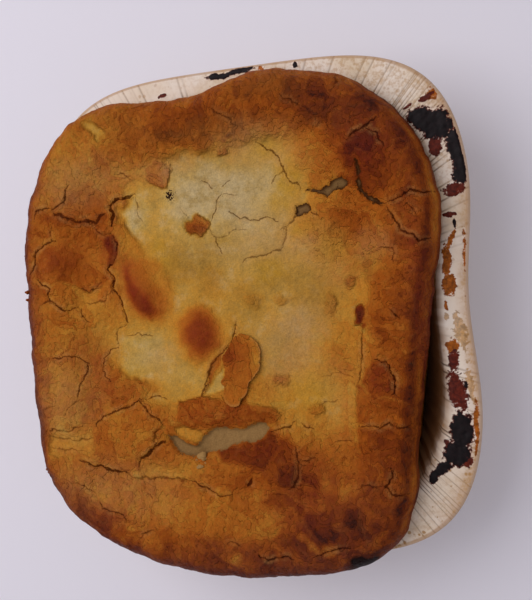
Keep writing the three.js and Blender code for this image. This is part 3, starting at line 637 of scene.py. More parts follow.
def cut_cracks(x, y, cracks, gaps):
    """Relief of the cracks and gaps, their pale lips (paler broken crust, partly painted highlight), how much
    lighter the crust is painted on a crack's raised side and darker on its other side, and what draws them:
    place across a crack, its half width and darkness (painted shade down in the crack), distance inside a gap
    and shade of its dough."""
    relief, half_width, dark, lips, crack_side_tone, shade, groove = (np.zeros_like(x) for _ in range(7))
    across = np.full_like(x, CRACK_REACH)
    bare = np.full_like(x, -GAP_REACH)
    for line, width, depth, darkness, lift in cracks:
        near = np.flatnonzero(near_line(line, x, y, 3 * LIFT_REACH))
        distance, _, _, run, side, length = nearest_on(line, x[near], y[near])
        ends = np.clip(np.minimum(run, length - run) / min(CRACK_TAPER, length / 3), 0, 1)
        half = width / 2 * (0.5 + 0.5 * ends)
        inside = np.clip(1 - distance / half, 0, 1)
        groove[near] = np.maximum(groove[near], 0.7 * depth * (0.3 + 0.7 * ends) * inside)
        closest = distance < np.abs(across[near])
        across[near[closest]] = (side * distance)[closest]
        half_width[near[closest]] = np.where((ends > 0) & (distance < 1.2), half, 0)[closest]
        dark[near[closest]] = darkness
        fade = np.exp(-distance / LIFT_REACH) * ends
        raised = side * np.sign(lift) > 0
        relief[near] += abs(lift) * fade * raised
        crack_side_tone[near] += abs(lift) * fade * np.where(raised, -1, 1)
        lips[near] = np.maximum(lips[near], bell(distance, half + 0.3, 0.6) * ends * darkness)
    for outline, depth, tone in gaps:
        near = np.flatnonzero(near_line(outline, x, y, GAP_REACH))
        inside = np.clip(in_outline(x[near], y[near], outline), -GAP_REACH, GAP_REACH)
        groove[near] = np.maximum(groove[near], depth * smoothstep(inside, -0.4, 0.5))
        if tone:
            shade[near] = np.where(inside > bare[near], tone, shade[near])
            bare[near] = np.maximum(bare[near], inside)
    drawn = {
        "across": across, "half_width": half_width, "dark": dark, "bare": bare + GAP_REACH, "shade": shade}
    return relief + 0.10 * lips - groove, lips, crack_side_tone, drawn


def start_grid(name, columns, rows):
    bpy.ops.object.select_all(action="DESELECT")
    bpy.ops.mesh.primitive_grid_add(x_subdivisions=columns, y_subdivisions=rows, size=2)
    piece = bpy.context.object
    piece.name = name
    piece.data.name = name
    return piece


def vertex_places(piece):
    places = np.empty(len(piece.data.vertices) * 3)
    piece.data.vertices.foreach_get("co", places)
    return places.reshape(-1, 3)


def in_metres(x, y, z):
    return np.stack((x, y, z), 1) * MM + (TRAY_MIDDLE.x, TRAY_MIDDLE.y, 0)


def paint(piece, looks):
    """Keeps a value for each point under each name, for the materials to read."""
    for name, values in looks.items():
        piece.data.attributes.new(name, "FLOAT", "POINT")
        piece.data.attributes[name].data.foreach_set("value", np.asarray(values, np.float32))


def rounded_square(u, v):
    """Square grid drawn into a disc: share of the way out, and angle."""
    across = u * np.sqrt(1 - v * v / 2)
    along = v * np.sqrt(1 - u * u / 2)
    return np.minimum(np.hypot(across, along), 1), np.arctan2(along, across)


def lid_places(out, angle):
    """Lays a disc over the lid with even steps down its shoulder and round its edge: place, distance from the
    edge, drop and share of the way round below it, and the length that the steep side hides from above."""
    reach = lid_reach(angle) + EDGE_WANDER * fractal(80 * np.cos(angle), 80 * np.sin(angle), 7, 4, 9)
    shoulder_length = math.pi / 4 * (SHOULDER + RIM_Z - LID_EDGE_Z)
    tuck_length = math.pi / 4 * (TUCK + LID_EDGE_Z - LID_UNDER)
    flat_length = reach - SHOULDER
    gone = out * (flat_length + shoulder_length + tuck_length)
    bend = np.clip((gone - flat_length) / shoulder_length, 0, 1) * math.pi / 2
    edge = np.where(gone < flat_length, reach - gone, SHOULDER * (1 - np.sin(bend)))
    tucked = np.clip((gone - flat_length - shoulder_length) / tuck_length, 0, 1)
    tuck = tucked * math.pi / 2
    spoke = reach - edge - TUCK * (1 - np.cos(tuck))
    x = LID_MIDDLE[0] + spoke * np.cos(angle)
    y = LID_MIDDLE[1] + spoke * np.sin(angle)
    return x, y, edge, (LID_EDGE_Z - LID_UNDER) * np.sin(tuck), tucked, gone - spoke


def split_quads(piece, low):
    """Three-cornered faces, each square split along its lower or more even diagonal."""
    corners = np.empty(len(piece.data.loops), np.int32)
    piece.data.loops.foreach_get("vertex_index", corners)
    a, b, c, d = corners.reshape(-1, 4).T
    first = low[a] + low[c] < low[b] + low[d]
    one = np.where(first[:, None], np.stack((a, b, c), 1), np.stack((b, c, d), 1))
    two = np.where(first[:, None], np.stack((a, c, d), 1), np.stack((b, d, a), 1))
    return np.concatenate((one, two))


def tray_outline(shape, grow, angle):
    half_x, half_y, power = shape
    cos = np.cos(angle)
    sin = np.sin(angle)
    reach = (np.abs(cos / (half_x + grow)) ** power + np.abs(sin / (half_y + grow)) ** power) ** (-1 / power)
    waist = SIDE_WAIST * (1 - smoothstep(np.abs(reach * sin), 0, WAIST_REACH))
    return np.stack(((reach - waist) * cos, reach * sin), -1)


def wall_outline(z, grow, angle):
    rise = z / FLANGE_Z
    half_x = FLOOR[0] + (OPENING[0] - FLOOR[0]) * rise
    half_y = FLOOR[1] + (OPENING[1] - FLOOR[1]) * rise
    return tray_outline((half_x, half_y, OPENING[2]), grow, angle)


def body_ring(spoke_angle, z):
    """Side of the pie down in the tray, on the spokes of the tray's middle."""
    tip_x = LID_MIDDLE[0] + lid_reach(spoke_angle) * np.cos(spoke_angle)
    tip_y = LID_MIDDLE[1] + lid_reach(spoke_angle) * np.sin(spoke_angle)
    angle = np.arctan2(tip_y, tip_x)
    inside = np.hypot(*wall_outline(z, -CLEARANCE, angle).T)
    reach = np.minimum(inside, np.hypot(tip_x, tip_y) - BODY_INSET)
    return reach * np.cos(angle), reach * np.sin(angle)


def extrude_body(piece):
    """Carries the lid's lower edge in under the lid and down the inside of the tray, and closes it."""
    bpy.ops.object.mode_set(mode="EDIT")
    bpy.ops.mesh.select_mode(type="EDGE")
    bpy.ops.mesh.select_all(action="DESELECT")
    bpy.ops.mesh.select_non_manifold(
        extend=False, use_wire=False, use_multi_face=False, use_non_contiguous=False)
    waist = FLANGE_Z - FLANGE_BEND
    middle = FLANGE_Z / 2
    heel = HEEL + BOARD
    # Height that gives a ring its outline, its own height, and how far it is drawn in
    levels = [(waist, LID_UNDER, 1), (waist, waist, 1), (middle, middle, 1), (heel, heel, 1),
              (HEEL, BOARD + CLEARANCE, 1 - HEEL / FLOOR[0])]
    for wall_z, z, shrink in levels:
        bpy.ops.mesh.extrude_region()
        bpy.ops.object.mode_set(mode="OBJECT")
        picked = np.empty(len(piece.data.vertices), bool)
        piece.data.vertices.foreach_get("select", picked)
        spoke_angle = np.empty(len(picked), np.float32)
        piece.data.attributes["spoke"].data.foreach_get("value", spoke_angle)
        x, y = body_ring(spoke_angle[picked].astype(float), wall_z)
        places = vertex_places(piece)
        places[picked] = in_metres(x * shrink, y * shrink, np.full_like(x, z))
        piece.data.vertices.foreach_set("co", places.ravel())
        bpy.ops.object.mode_set(mode="EDIT")
    bpy.ops.mesh.extrude_region()
    bpy.ops.mesh.merge(type="CENTER")
    bpy.ops.mesh.select_all(action="SELECT")
    bpy.ops.mesh.normals_make_consistent(inside=False)
    bpy.ops.object.mode_set(mode="OBJECT")


def flaky_layers(leaves):
    """Thin leaves of crust that end in ragged steps: height in leaves, and a painted highlight and painted
    shadow at each step.
    """
    below = np.floor(leaves)
    part = leaves - below
    return below + smoothstep(part, 0.82, 1), bell(part, 0.12, 0.09), bell(part, 0.84, 0.07)


def pie_crust():
    piece = start_grid("pie_crust", LID_GRID, LID_GRID)
    u, v, _ = vertex_places(piece).T
    out, angle = rounded_square(u, v)
    x, y, edge, drop, tucked, hidden = lid_places(out, angle)
    cracks, gaps = crack_lines()
    snap_to_cracks(x, y, cracks)
    relief, lips, crack_side_tone, drawn = cut_cracks(x, y, cracks, gaps)

    def uneven(size, octaves, layer):
        """Uneven waves over the lid that run on down its steep side."""
        return fractal(x + hidden * np.cos(angle), y + hidden * np.sin(angle), size, octaves, layer)

    ragged_x = x + FRAY * uneven(5, 5, 2)
    ragged_y = y + FRAY * uneven(5, 5, 4)
    warped_x = ragged_x + WARP * uneven(20, 3, 1)
    warped_y = ragged_y + WARP * uneven(20, 3, 3)
    tone = painted(np.full_like(x, BAKE), BAKE_LAYERS, warped_x, warped_y)
    tone = painted(tone, CRISP_LAYERS, ragged_x, ragged_y, PATCH_EDGE)
    tone = plated(tone, x + PLATE_FRAY * (ragged_x - x), y + PLATE_FRAY * (ragged_y - y))

    # Strips along the edge, by tone and cover: dark on the left and near sides, worn light on the right
    right = smoothstep(x, 30, 55)
    far = smoothstep(y, 45, 72)
    patchy = np.clip(0.8 + 0.8 * uneven(9, 3, 18), 0, 1)
    rim = patchy * (1 - right) * (1 - far) * (1 - smoothstep(edge, 1.5, 7.5))
    worn = np.clip(0.5 + 1.1 * uneven(7, 3, 16), 0, 1)
    strips = [
        (0.82 - 0.24 * far, 0.7 * (1 - right) * (1 - smoothstep(edge, 1, 6))),
        (0.91, 0.75 * rim),
        (0.90, 0.8 * right * bell(edge, 4, 1.5)),
        (0.54, 0.9 * right * worn * bell(edge, 1.4, 0.8)),
        (0.92, 0.7 * right * (1 - smoothstep(edge, 0.2, 0.7))),
    ]
    for strip_tone, cover in strips:
        tone += (strip_tone - tone) * cover

    # Leaves and scales of crust, streaks across the rim and layers along the steep side
    flaky = smoothstep(tone, 0.26, 0.52) * (1 - np.clip(patchwork(SMOOTH_PATCHES, x, y), 0, 1))
    leaves, leaf_highlights, leaf_shadows = flaky_layers(3 * uneven(19, 3, 8))
    scales, _, scale_shadows = flaky_layers(2 * uneven(6, 3, 10))
    flecks = smoothstep(uneven(3.4, 2, 11), 0.25, 0.5)
    seam = smoothstep(math.pi - np.abs(angle), 0, 0.12)
    on_rim = smoothstep(edge, 0.5, 5) * (1 - smoothstep(edge, 7, 22))
    streaks = fractal(80 * angle, edge / 3, 4, 3, 13) * on_rim * seam
    layered = fractal(25 * angle, 2.5 * hidden, 5, 3, 19) * (1 - smoothstep(edge, 1, 5)) * seam
    relief += flaky * (0.22 * leaves + 0.13 * scales + 0.25 * streaks) + 0.2 * layered
    relief += (0.10 + 0.10 * flaky) * uneven(5, 4, 5) + (0.05 + 0.09 * flaky) * uneven(1.7, 2, 6)
    top = 1 - smoothstep(tucked, 0, 0.4)
    z = lid_height(x, y, edge) - drop + relief * top

    # The crust is painted lighter on the raised side of each crack and darker on its other side
    bake = tone + 0.04 * uneven(12, 3, 7) + 0.09 * crack_side_tone + 0.09 * layered
    bake += 0.10 * fractal(3 * x, 0.7 * y, 11, 3, 17) * np.clip(patchwork(STREAK_PATCHES, x, y), 0, 1)
    bake += flaky * (0.03 * (leaves % 3 - 1) + 0.02 * (scales % 2))
    # Painted shadow at each step of the leaves and scales, then paler flecks and uneven streaks
    bake += flaky * (0.05 * leaf_shadows + 0.03 * scale_shadows - 0.03 * flecks - 0.10 * streaks)
    # The pie's side down in the tray takes that paler tone, painted light in the shaded gap
    side = smoothstep(tucked, 0.5, 1)
    bake += (LIT_SIDE_BAKE - bake) * side
    broken = np.clip(0.6 + 1.2 * uneven(3, 3, 15), 0, 1)
    # Purplish brown: partly browning, partly painted lilac sheen and painted shade along the rims and the
    # right side
    browning_sheen_and_shade = np.clip(patchwork(BROWNING_SHEEN_SHADE_PATCHES, warped_x, warped_y) + rim, 0, 1.3)
    looks = {
        "spoke": angle, "bake": bake, "flaky": flaky,
        # Pale edges of cracks and leaves: paler broken crust, partly painted highlight
        "pale_edges_and_highlights": broken * np.clip(0.9 * lips + 0.15 * flaky * leaf_highlights, 0, 1),
        "red": patchwork(RED_PATCHES, ragged_x, ragged_y), "browning_sheen_and_shade": browning_sheen_and_shade * (1 - side),
        "scorch": patchwork(SCORCH_PATCHES, ragged_x, ragged_y),
        "specks": bell(x, SPECKS[0], SPECK_SPREAD) * bell(y, SPECKS[1], SPECK_SPREAD),
        **drawn, "half_width": drawn["half_width"] * top,
    }
    for name, patches in (("grey", GREY_PATCHES), ("olive", OLIVE_PATCHES), ("yellow", YELLOW_PATCHES)):
        looks[name] = np.clip(patchwork(patches, warped_x, warped_y), 0, 1)
    faces = split_quads(piece, relief - 3 * drawn["half_width"])
    piece.data.clear_geometry()
    piece.data.from_pydata(in_metres(x, y, z).tolist(), [], faces.tolist())
    paint(piece, looks)
    extrude_body(piece)
    bpy.ops.object.shade_smooth()
    return piece


def raised_flake():
    piece = start_grid("raised_flake", FLAKE_GRID, FLAKE_GRID)
    u, v, _ = vertex_places(piece).T
    out, angle = rounded_square(u, v)
    reach = flake_reach(angle) + 0.4 * fractal(6 * np.cos(angle), 6 * np.sin(angle), 1.5, 4, 12)
    x = FLAKE_MIDDLE[0] + out * reach * np.cos(angle)
    y = FLAKE_MIDDLE[1] + out * reach * np.sin(angle)
    free = smoothstep(0.8 * (x - FLAKE_MIDDLE[0]) - 0.35 * (y - FLAKE_MIDDLE[1]), -6, 8)
    z = lid_height(x, y, lid_edge_distance(x, y)) + FLAKE_THICK + FLAKE_LIFT + FLAKE_RISE * free
    z += 0.5 * (1 - out ** 2) + 0.35 * fractal(x, y, 5, 4, 13)
    piece.data.vertices.foreach_set("co", in_metres(x, y, z).ravel())
    tone = 0.58 + 0.05 * fractal(x, y, 5, 3, 14)
    tone -= 0.07 * smoothstep(-y, 25, 34) + 0.10 * smoothstep(x, 2.5, 5)
    paint(piece, {
        "bake": tone + 0.18 * bell(x, -5, 3) * bell(y, -15, 5),
        "pale_edges_and_highlights": smoothstep(out, 0.90, 1) * smoothstep(x - 0.5 * y, 6, 14),
        "red": 0.4 * bell(x, -3, 4) * bell(y, -16, 6),
        "flaky": np.ones_like(x),
    })
    thick = piece.modifiers.new("thick", "SOLIDIFY")
    thick.thickness = FLAKE_THICK * MM
    thick.offset = -1
    bpy.ops.object.modifier_apply(modifier=thick.name)
    bpy.ops.object.shade_smooth()
    return piece


def loose_crumbs():
    """Crumbs that lie on the lid and stick to its edge, each a lump of its own."""
    crumbs = []
    for number, (x, y, size, paleness) in enumerate(CRUMBS):
        edge = max(float(lid_edge_distance(np.array([x]), np.array([y]))[0]), 0)
        height = float(lid_height(np.array([x]), np.array([y]), np.array([edge]))[0])
        bpy.ops.object.select_all(action="DESELECT")
        bpy.ops.mesh.primitive_ico_sphere_add(subdivisions=4, radius=1)
        crumb = bpy.context.object
        lump = vertex_places(crumb)
        uneven = 1 + 0.45 * fractal(lump[:, 0] + 9 * number, lump[:, 1] + lump[:, 2], 0.9, 3, number)
        lump *= size * uneven[:, None] * (1, 0.8, 0.7)
        places = in_metres(lump[:, 0] + x, lump[:, 1] + y, lump[:, 2] + height - CRUMB_SINK * (paleness > 0))
        crumb.data.vertices.foreach_set("co", places.ravel())
        paint(crumb, {"bake": np.full(len(lump), 0.8), "bare": np.full(len(lump), 2 * GAP_REACH * paleness)})
        crumbs.append(crumb)
    bpy.ops.object.select_all(action="DESELECT")
    for crumb in crumbs:
        crumb.select_set(True)
    bpy.context.view_layer.objects.active = crumbs[0]
    bpy.ops.object.join()
    piece = bpy.context.object
    piece.name = "loose_crumbs"
    bpy.ops.object.shade_smooth()
    return piece


def crease_columns(angle):
    """Fine creases across the flange where the board gathers at the corners, none alike."""
    draw = np.random.default_rng(5)
    depth = np.zeros(TRAY_COLUMNS + 1)
    column = 2
    while column < TRAY_COLUMNS - 2:
        corner = np.sin(2 * angle[column]) ** 2
        depth[column] = CREASE_DEPTH * draw.random() ** 1.7 * (0.3 + 0.7 * smoothstep(corner, 0.05, 0.45))
        column += int(draw.integers(2, 6))
    return depth


def tray_rows(angle, pleat, crease):
    """Rows of points round the tray, from the middle of its base up and out, over the flange and down to the
    middle of its floor: x, y, z and depth of creases. Then the flange's first row and the first past it."""
    rows = []
    quarter = math.pi / 2
    floor_edge = tray_outline(FLOOR, -HEEL, angle)
    bend = tray_outline(OPENING, FLANGE_BEND, angle)
    underside = FLANGE_Z - BOARD
    lip = FLANGE_Z - LIP_DROP
    wall_top = FLANGE_Z - FLANGE_BEND

    def row(flat, z, pressed=0.0):
        rows.append((flat[:, 0], flat[:, 1], z, pressed * crease))

    def heel(z_floor, grow, turn):
        side = wall_outline(HEEL, grow + pleat, angle)
        out = math.sin(turn * quarter)
        up = 1 - math.cos(turn * quarter)
        row(floor_edge + (side - floor_edge) * out, z_floor + (HEEL - z_floor) * up)

    row(0 * floor_edge, 0)
    row(floor_edge, 0)
    for turn in HEEL_TURNS:
        heel(0, BOARD, turn)
    for z in np.linspace(HEEL, wall_top, OUTER_WALL_ROWS)[1:]:
        row(wall_outline(z, BOARD + pleat, angle), z)
    row(bend, underside, 1)
    # The turned-down lip and its rounded brim: how far in from the outside, height, share of the creases
    for inset, z, pressed in (
            (BOARD + LIP_BEND, underside, 1), (BOARD, underside - LIP_BEND, 0.5), (BOARD, lip, 0),
            (0, lip, 0), (0, FLANGE_Z - 1.2, 0.4), (0.25, FLANGE_Z - 0.4, 0.7)):
        row(tray_outline(FLANGE_OUTSIDE, -inset, angle), z, pressed)
    flange_start = len(rows)
    brim = tray_outline(FLANGE_OUTSIDE, -1, angle)
    for share in np.linspace(0, 1, FLANGE_ROWS):
        row(brim + (bend - brim) * share, FLANGE_Z, 1)
    flange_end = len(rows)
    top = wall_outline(wall_top, pleat, angle)
    for turn in FLANGE_TURNS:
        bent = bend + (top - bend) * math.sin(turn * quarter)
        row(bent, FLANGE_Z - FLANGE_BEND * (1 - math.cos(turn * quarter)), 0.8)
    for z in np.linspace(wall_top, HEEL, INNER_WALL_ROWS)[1:]:
        row(wall_outline(z, pleat, angle), z)
    for turn in HEEL_TURNS[1::-1]:
        heel(BOARD, 0, turn)
    row(floor_edge, BOARD)
    row(0 * floor_edge, BOARD)
    return rows, flange_start, flange_end


def board_tray():
    even = np.linspace(0, 2 * math.pi, TRAY_COLUMNS + 1)
    angle = even + CORNER_CROWDING * np.sin(4 * even)
    pleat = PLEAT_DEPTH * np.sin(2 * angle) ** 4 * 2 / math.pi * np.arcsin(-np.cos(PLEATS * even))
    rows, flange_start, flange_end = tray_rows(angle, pleat, crease_columns(angle))
    piece = start_grid("board_tray", TRAY_COLUMNS, len(rows) - 1)
    u, v, _ = vertex_places(piece).T
    column = np.rint((u + 1) / 2 * TRAY_COLUMNS).astype(int)
    level = np.rint((v + 1) / 2 * (len(rows) - 1)).astype(int)
    sheet = [np.array([np.broadcast_to(values[k], angle.shape) for values in rows]) for k in range(4)]
    x, y, z, pressed = (values[level, column] for values in sheet)
    on_top = (level >= flange_start) & (level < flange_end + len(FLANGE_TURNS))

    # Gravy, as blots with frayed edges: burnt clots have a rusty border, and both stand up from the board
    warped_x = x + 0.8 * fractal(x, y, 5, 4, 21)
    warped_y = y + 0.8 * fractal(x, y, 5, 4, 22)
    looks = {"burnt": BURNT_GRAVY, "rusty": RUSTY_GRAVY, "amber": AMBER_GRAVY, "grease": GREASE}
    for name, blots in looks.items():
        near = [amount * BLOT_REACH - in_ellipse(warped_x, warped_y, place) for *place, amount in blots]
        looks[name] = np.where(on_top, np.max(near, 0), -1)
    looks["rusty"] = np.maximum(looks["rusty"], looks["burnt"] + 0.25)
    clot = np.maximum(smoothstep(looks["burnt"], 0.1, 0.6), 0.7 * smoothstep(looks["rusty"], 0.1, 0.6))
    clot_lumps = 0.30 + 0.25 * fractal(x, y, 2.6, 4, 24)
    z = z - pressed * (1 - clot) + on_top * (clot * clot_lumps + 0.1 * fractal(x, y, 9, 3, 23))
    piece.data.vertices.foreach_set("co", in_metres(x, y, z).ravel())

    # Toasted corners and right-hand edge, spatter, and browning that runs down the inside of the wall, darker
    # further down, partly stain and partly painted shade
    corners = np.maximum(0.8 * smoothstep(x + 1.6 * y, 60, 190), 0.6 * smoothstep(x - 1.3 * y, 120, 170))
    inwards = (level - flange_start) / FLANGE_ROWS
    patchy = np.clip(0.9 + 0.9 * fractal(x, y, 14, 4, 26), 0, 1)
    edging = patchy * smoothstep(x, 60, 74) * bell(inwards, 0, 0.3)
    drips = 3.5 * fractal(90 * angle[column], z / 12, 3, 3, 25)
    down = FLANGE_Z - z + 3 * (level >= flange_end) - 0.55 * np.maximum(flange_end - level, 0)
    inside = level >= flange_start
    brim_rows = (level > flange_start - 4) & (level < flange_start + 1)
    looks.update({
        "crease": smoothstep(pressed, 0.06, 0.2),
        "toast": np.where(on_top, np.maximum(corners, edging), 0),
        "spatter": np.where(on_top, smoothstep(x - 1.3 * y, 118, 160), 0),
        "baked": smoothstep(np.where(inside, down, -9) + drips, -3, 10),
        # Creases painted darker towards the inner edge of the flange and round the bend
        "grime": smoothstep(pressed, 0.05, 0.2) * smoothstep(level - flange_end, -9, 0) * inside,
        "brim": np.maximum(brim_rows, np.where(on_top, 0.9 * edging, 0)),
    })
    paint(piece, looks)
    bpy.ops.object.mode_set(mode="EDIT")
    bpy.ops.mesh.select_all(action="SELECT")
    bpy.ops.mesh.remove_doubles(threshold=1e-6)
    bpy.ops.mesh.normals_make_consistent(inside=False)
    bpy.ops.object.mode_set(mode="OBJECT")
    bpy.ops.object.shade_smooth()
    return piece


def linear(hex_code):
    """Scene-linear colour of an sRGB hex value."""
    parts = [int(hex_code[start:start + 2], 16) / 255 for start in (1, 3, 5)]
    return tuple(c / 12.92 if c <= 0.04045 else ((c + 0.055) / 1.055) ** 2.4 for c in parts) + (1.0,)


def per_metre(size):
    """Scale of a pattern whose lumps are size millimetres across."""
    return 1 / (size * MM)


def new_material(name):
    """Gives a material, its node tree and shader, and a function that adds a node to it."""
    material = bpy.data.materials.new(name)
    material.use_nodes = True
    tree = material.node_tree
    tree.nodes.clear()
    shader = tree.nodes.new("ShaderNodeBsdfPrincipled")
    surface = tree.nodes.new("ShaderNodeOutputMaterial")
    tree.links.new(shader.outputs[0], surface.inputs["Surface"])

    def add(kind, inputs, output=0, stops=(), **settings):
        """Adds a node, fills or links its sockets and gives one output. A MapRange takes the value at 0 from
        the range at 1 and 2 to the one at 3 and 4. A Mix of colours lays 7 over 6, with its cover at 0."""
        made = tree.nodes.new("ShaderNode" + kind)
        for setting, value in settings.items():
            setattr(made, setting, value)
        for socket, value in inputs.items():
            if isinstance(value, bpy.types.NodeSocket):
                tree.links.new(value, made.inputs[socket])
            else:
                made.inputs[socket].default_value = value
        for number, (position, hex_code) in enumerate(stops):
            ramp = made.color_ramp.elements
            stop = ramp[number] if number < 2 else ramp.new(position)
            stop.position = position
            stop.color = linear(hex_code)
        return made.outputs[output]

    return material, tree, shader, add


def baked_crust():
    """Glazed shortcrust, browned in the oven: pale and matt to red-brown, grainy and flaky where dark."""
    material, tree, shader, add = new_material("baked_crust")
    place = add("TexCoord", {}, "Object")
    names = ("bake", "flaky", "pale_edges_and_highlights", "red", "browning_sheen_and_shade", "grey", "olive", "yellow", "scorch", "specks",
             "across", "half_width", "dark", "bare", "shade")
    fields = {name: add("Attribute", {}, "Fac", attribute_name=name) for name in names}
    flaky = fields["flaky"]
    grain = {}
    for size in (11, 6, 3.6, 1.4, 0.5):
        grain[size] = add("TexNoise", {
            "Vector": place, "Scale": per_metre(size), "Detail": 4, "Roughness": 0.6})

    # Leaves of crust that end in ragged steps: each is browned evenly and the next one a little more
    leaf_edges = add("TexNoise", {
        "Vector": place, "Scale": per_metre(8), "Detail": 3.0, "Roughness": 0.5, "Distortion": 0.4})
    steps = add("Math", {0: leaf_edges, 1: 0.5, 2: fields["bake"]}, operation="MULTIPLY_ADD")
    steps = add("Math", {0: steps, 1: 11.0}, operation="MULTIPLY")
    part = add("Math", {0: steps}, operation="FRACT")
    leaf = add("Math", {0: steps}, operation="FLOOR")
    evened = add("MapRange", {0: part, 1: 0.0, 2: 0.92, 3: 0.035, 4: -0.035})
    amount = add("Math", {0: flaky, 1: evened, 2: fields["bake"]}, operation="MULTIPLY_ADD")
    unevenness = add("MapRange", {0: flaky, 3: 0.5, 4: 1.0})
    # Blotches, flakes, crumb and grain: size in millimetres, sharpness of their edges and change of tone
    for size, blur, strength in (
            (11, 0.11, 0.025), (3.6, 0.08, 0.014), (1.4, 0.09, 0.014), (0.5, 0.14, 0.02)):
        change = add("MapRange", {0: grain[size], 1: 0.5 - blur, 2: 0.5 + blur, 3: -strength, 4: strength})
        amount = add("Math", {0: change, 1: unevenness, 2: amount}, operation="MULTIPLY_ADD")
    colour = add("ValToRGB", {0: amount}, stops=[
        (0.0, "#C1AC7C"), (1.0, "#391A10"), (0.13, "#BEA369"), (0.22, "#BE994C"), (0.32, "#BF8B33"),
        (0.42, "#BC7D28"), (0.55, "#B0651D"), (0.68, "#9C4E12"), (0.80, "#7F390D"), (0.90, "#65290D")])

    # Dry and damp patches of the pale crust, then the tints that are painted on the lid, and pale lips,
    # partly paler broken crust and partly painted highlight
    dry = add("MapRange", {0: grain[6], 1: 0.47, 2: 0.33, 3: 0.0, 4: 0.4})
    damp = add("MapRange", {0: grain[6], 1: 0.52, 2: 0.64, 3: 0.0, 4: 0.6})
    pale = add("MapRange", {0: amount, 1: 0.25, 2: 0.4, 3: 1.0, 4: 0.0})
    for cover, hex_code in ((dry, "#D0B57E"), (damp, "#A0803C")):
        cover = add("Math", {0: cover, 1: pale}, operation="MULTIPLY")
        colour = add("Mix", {0: cover, 6: colour, 7: linear(hex_code)}, 2, data_type="RGBA")
    # The purplish tint is partly painted lilac sheen and shade on the rims and the right side
    for name, hex_code, share in (
            ("grey", "#B39A6E", 0.9), ("olive", "#906A28", 0.9), ("yellow", "#B88A20", 1.1),
            ("browning_sheen_and_shade", "#5E3028", 0.55), ("red", "#7A2016", 0.8)):
        cover = add("Math", {0: grain[3.6], 1: 1.2 * share}, operation="MULTIPLY")
        cover = add("Math", {0: cover, 1: fields[name]}, operation="MULTIPLY", use_clamp=True)
        colour = add("Mix", {0: cover, 6: colour, 7: linear(hex_code)}, 2, data_type="RGBA")
    pale_edge_cover = add("Math", {0: fields["pale_edges_and_highlights"], 1: 0.4}, operation="MULTIPLY", use_clamp=True)
    colour = add("Mix", {0: pale_edge_cover, 6: colour, 7: linear("#C08C4C")}, 2, data_type="RGBA")

    # Bare dough in the gaps, with edges torn by the grain, and painted shadow darkening it near their edges
    crumbly = add("Math", {0: grain[1.4], 1: 0.7, 2: fields["shade"]}, operation="MULTIPLY_ADD")
    darker = add("MapRange", {0: crumbly, 1: 0.35, 2: 1.35})
    torn = add("Math", {0: grain[1.4], 1: 2.4, 2: fields["bare"]}, operation="MULTIPLY_ADD")
    gap = add("MapRange", {0: torn, 1: GAP_REACH + 1.0, 2: GAP_REACH + 1.4})
    shaded = add("MapRange", {0: torn, 1: GAP_REACH + 1.2, 2: GAP_REACH + 2.4, 3: 0.45, 4: 0.0})
    shaded = add("Math", {0: shaded, 1: fields["shade"]}, operation="MULTIPLY")
    darker = add("Math", {0: shaded, 1: 1.7, 2: darker}, operation="MULTIPLY_ADD", use_clamp=True)
    dough = add("Mix", {0: darker, 6: linear("#A27E4A"), 7: linear("#3C1E06")}, 2, data_type="RGBA")
    colour = add("Mix", {0: gap, 6: colour, 7: dough}, 2, data_type="RGBA")

    # Scorched places and burnt specks
    scorch = add("MapRange", {0: fields["scorch"], 1: 0.2, 2: 0.8})
    dots = add("TexVoronoi", {"Vector": place, "Scale": per_metre(0.75)}, "Distance")
    speck_size = add("Math", {0: fields["specks"], 1: 0.68}, operation="MULTIPLY")
    speck = add("Math", {0: speck_size, 1: dots}, operation="SUBTRACT")
    speck = add("MapRange", {0: speck, 1: 0.0, 2: 0.08})
    for cover, hex_code in ((scorch, "#1E0F0C"), (speck, "#2A160C")):
        colour = add("Mix", {0: cover, 6: colour, 7: linear(hex_code)}, 2, data_type="RGBA")

    # Cracks, drawn as painted shade along the middle of their grooves: the grain makes them wander, narrow
    # and widen
    wander = add("Math", {0: grain[1.4], 1: 1.5, 2: fields["across"]}, operation="MULTIPLY_ADD")
    wander = add("Math", {0: grain[0.5], 1: 0.6, 2: wander}, operation="MULTIPLY_ADD")
    wander = add("Math", {0: wander, 1: 1.05}, operation="SUBTRACT")
    away = add("Math", {0: wander}, operation="ABSOLUTE")
    width = add("MapRange", {0: grain[3.6], 1: 0.36, 2: 0.64, 3: 0.15, 4: 0.82})
    within = add("Math", {0: fields["half_width"], 1: width}, operation="MULTIPLY")
    within = add("Math", {0: within, 1: away}, operation="SUBTRACT")
    crack = add("MapRange", {0: within, 1: -0.15, 2: 0.10})
    there = add("MapRange", {0: fields["half_width"], 1: 0.04, 2: 0.2})
    depth = add("MapRange", {0: fields["dark"], 1: 0.3, 2: 0.95, 3: 0.4, 4: 1.0})
    for share in (there, depth):
        crack = add("Math", {0: crack, 1: share}, operation="MULTIPLY")
    colour = add(
        "Mix", {0: crack, 6: colour, 7: linear("#8C7656")}, 2, data_type="RGBA", blend_type="MULTIPLY")

    # Fine grain that changes how light the crust is and not its hue
    value = add("Math", {0: grain[1.4], 1: 0.6, 2: 0.3}, operation="MULTIPLY_ADD")
    value = add("Math", {0: grain[0.5], 1: 0.8, 2: value}, operation="MULTIPLY_ADD")
    colour = add("HueSaturation", {"Value": value, "Color": colour})
    tree.links.new(colour, shader.inputs["Base Color"])
    rough = add("MapRange", {0: amount, 1: 0.2, 2: 0.75, 3: 0.60, 4: 0.46})
    tree.links.new(rough, shader.inputs["Roughness"])
    shader.inputs["Specular IOR Level"].default_value = 0.035

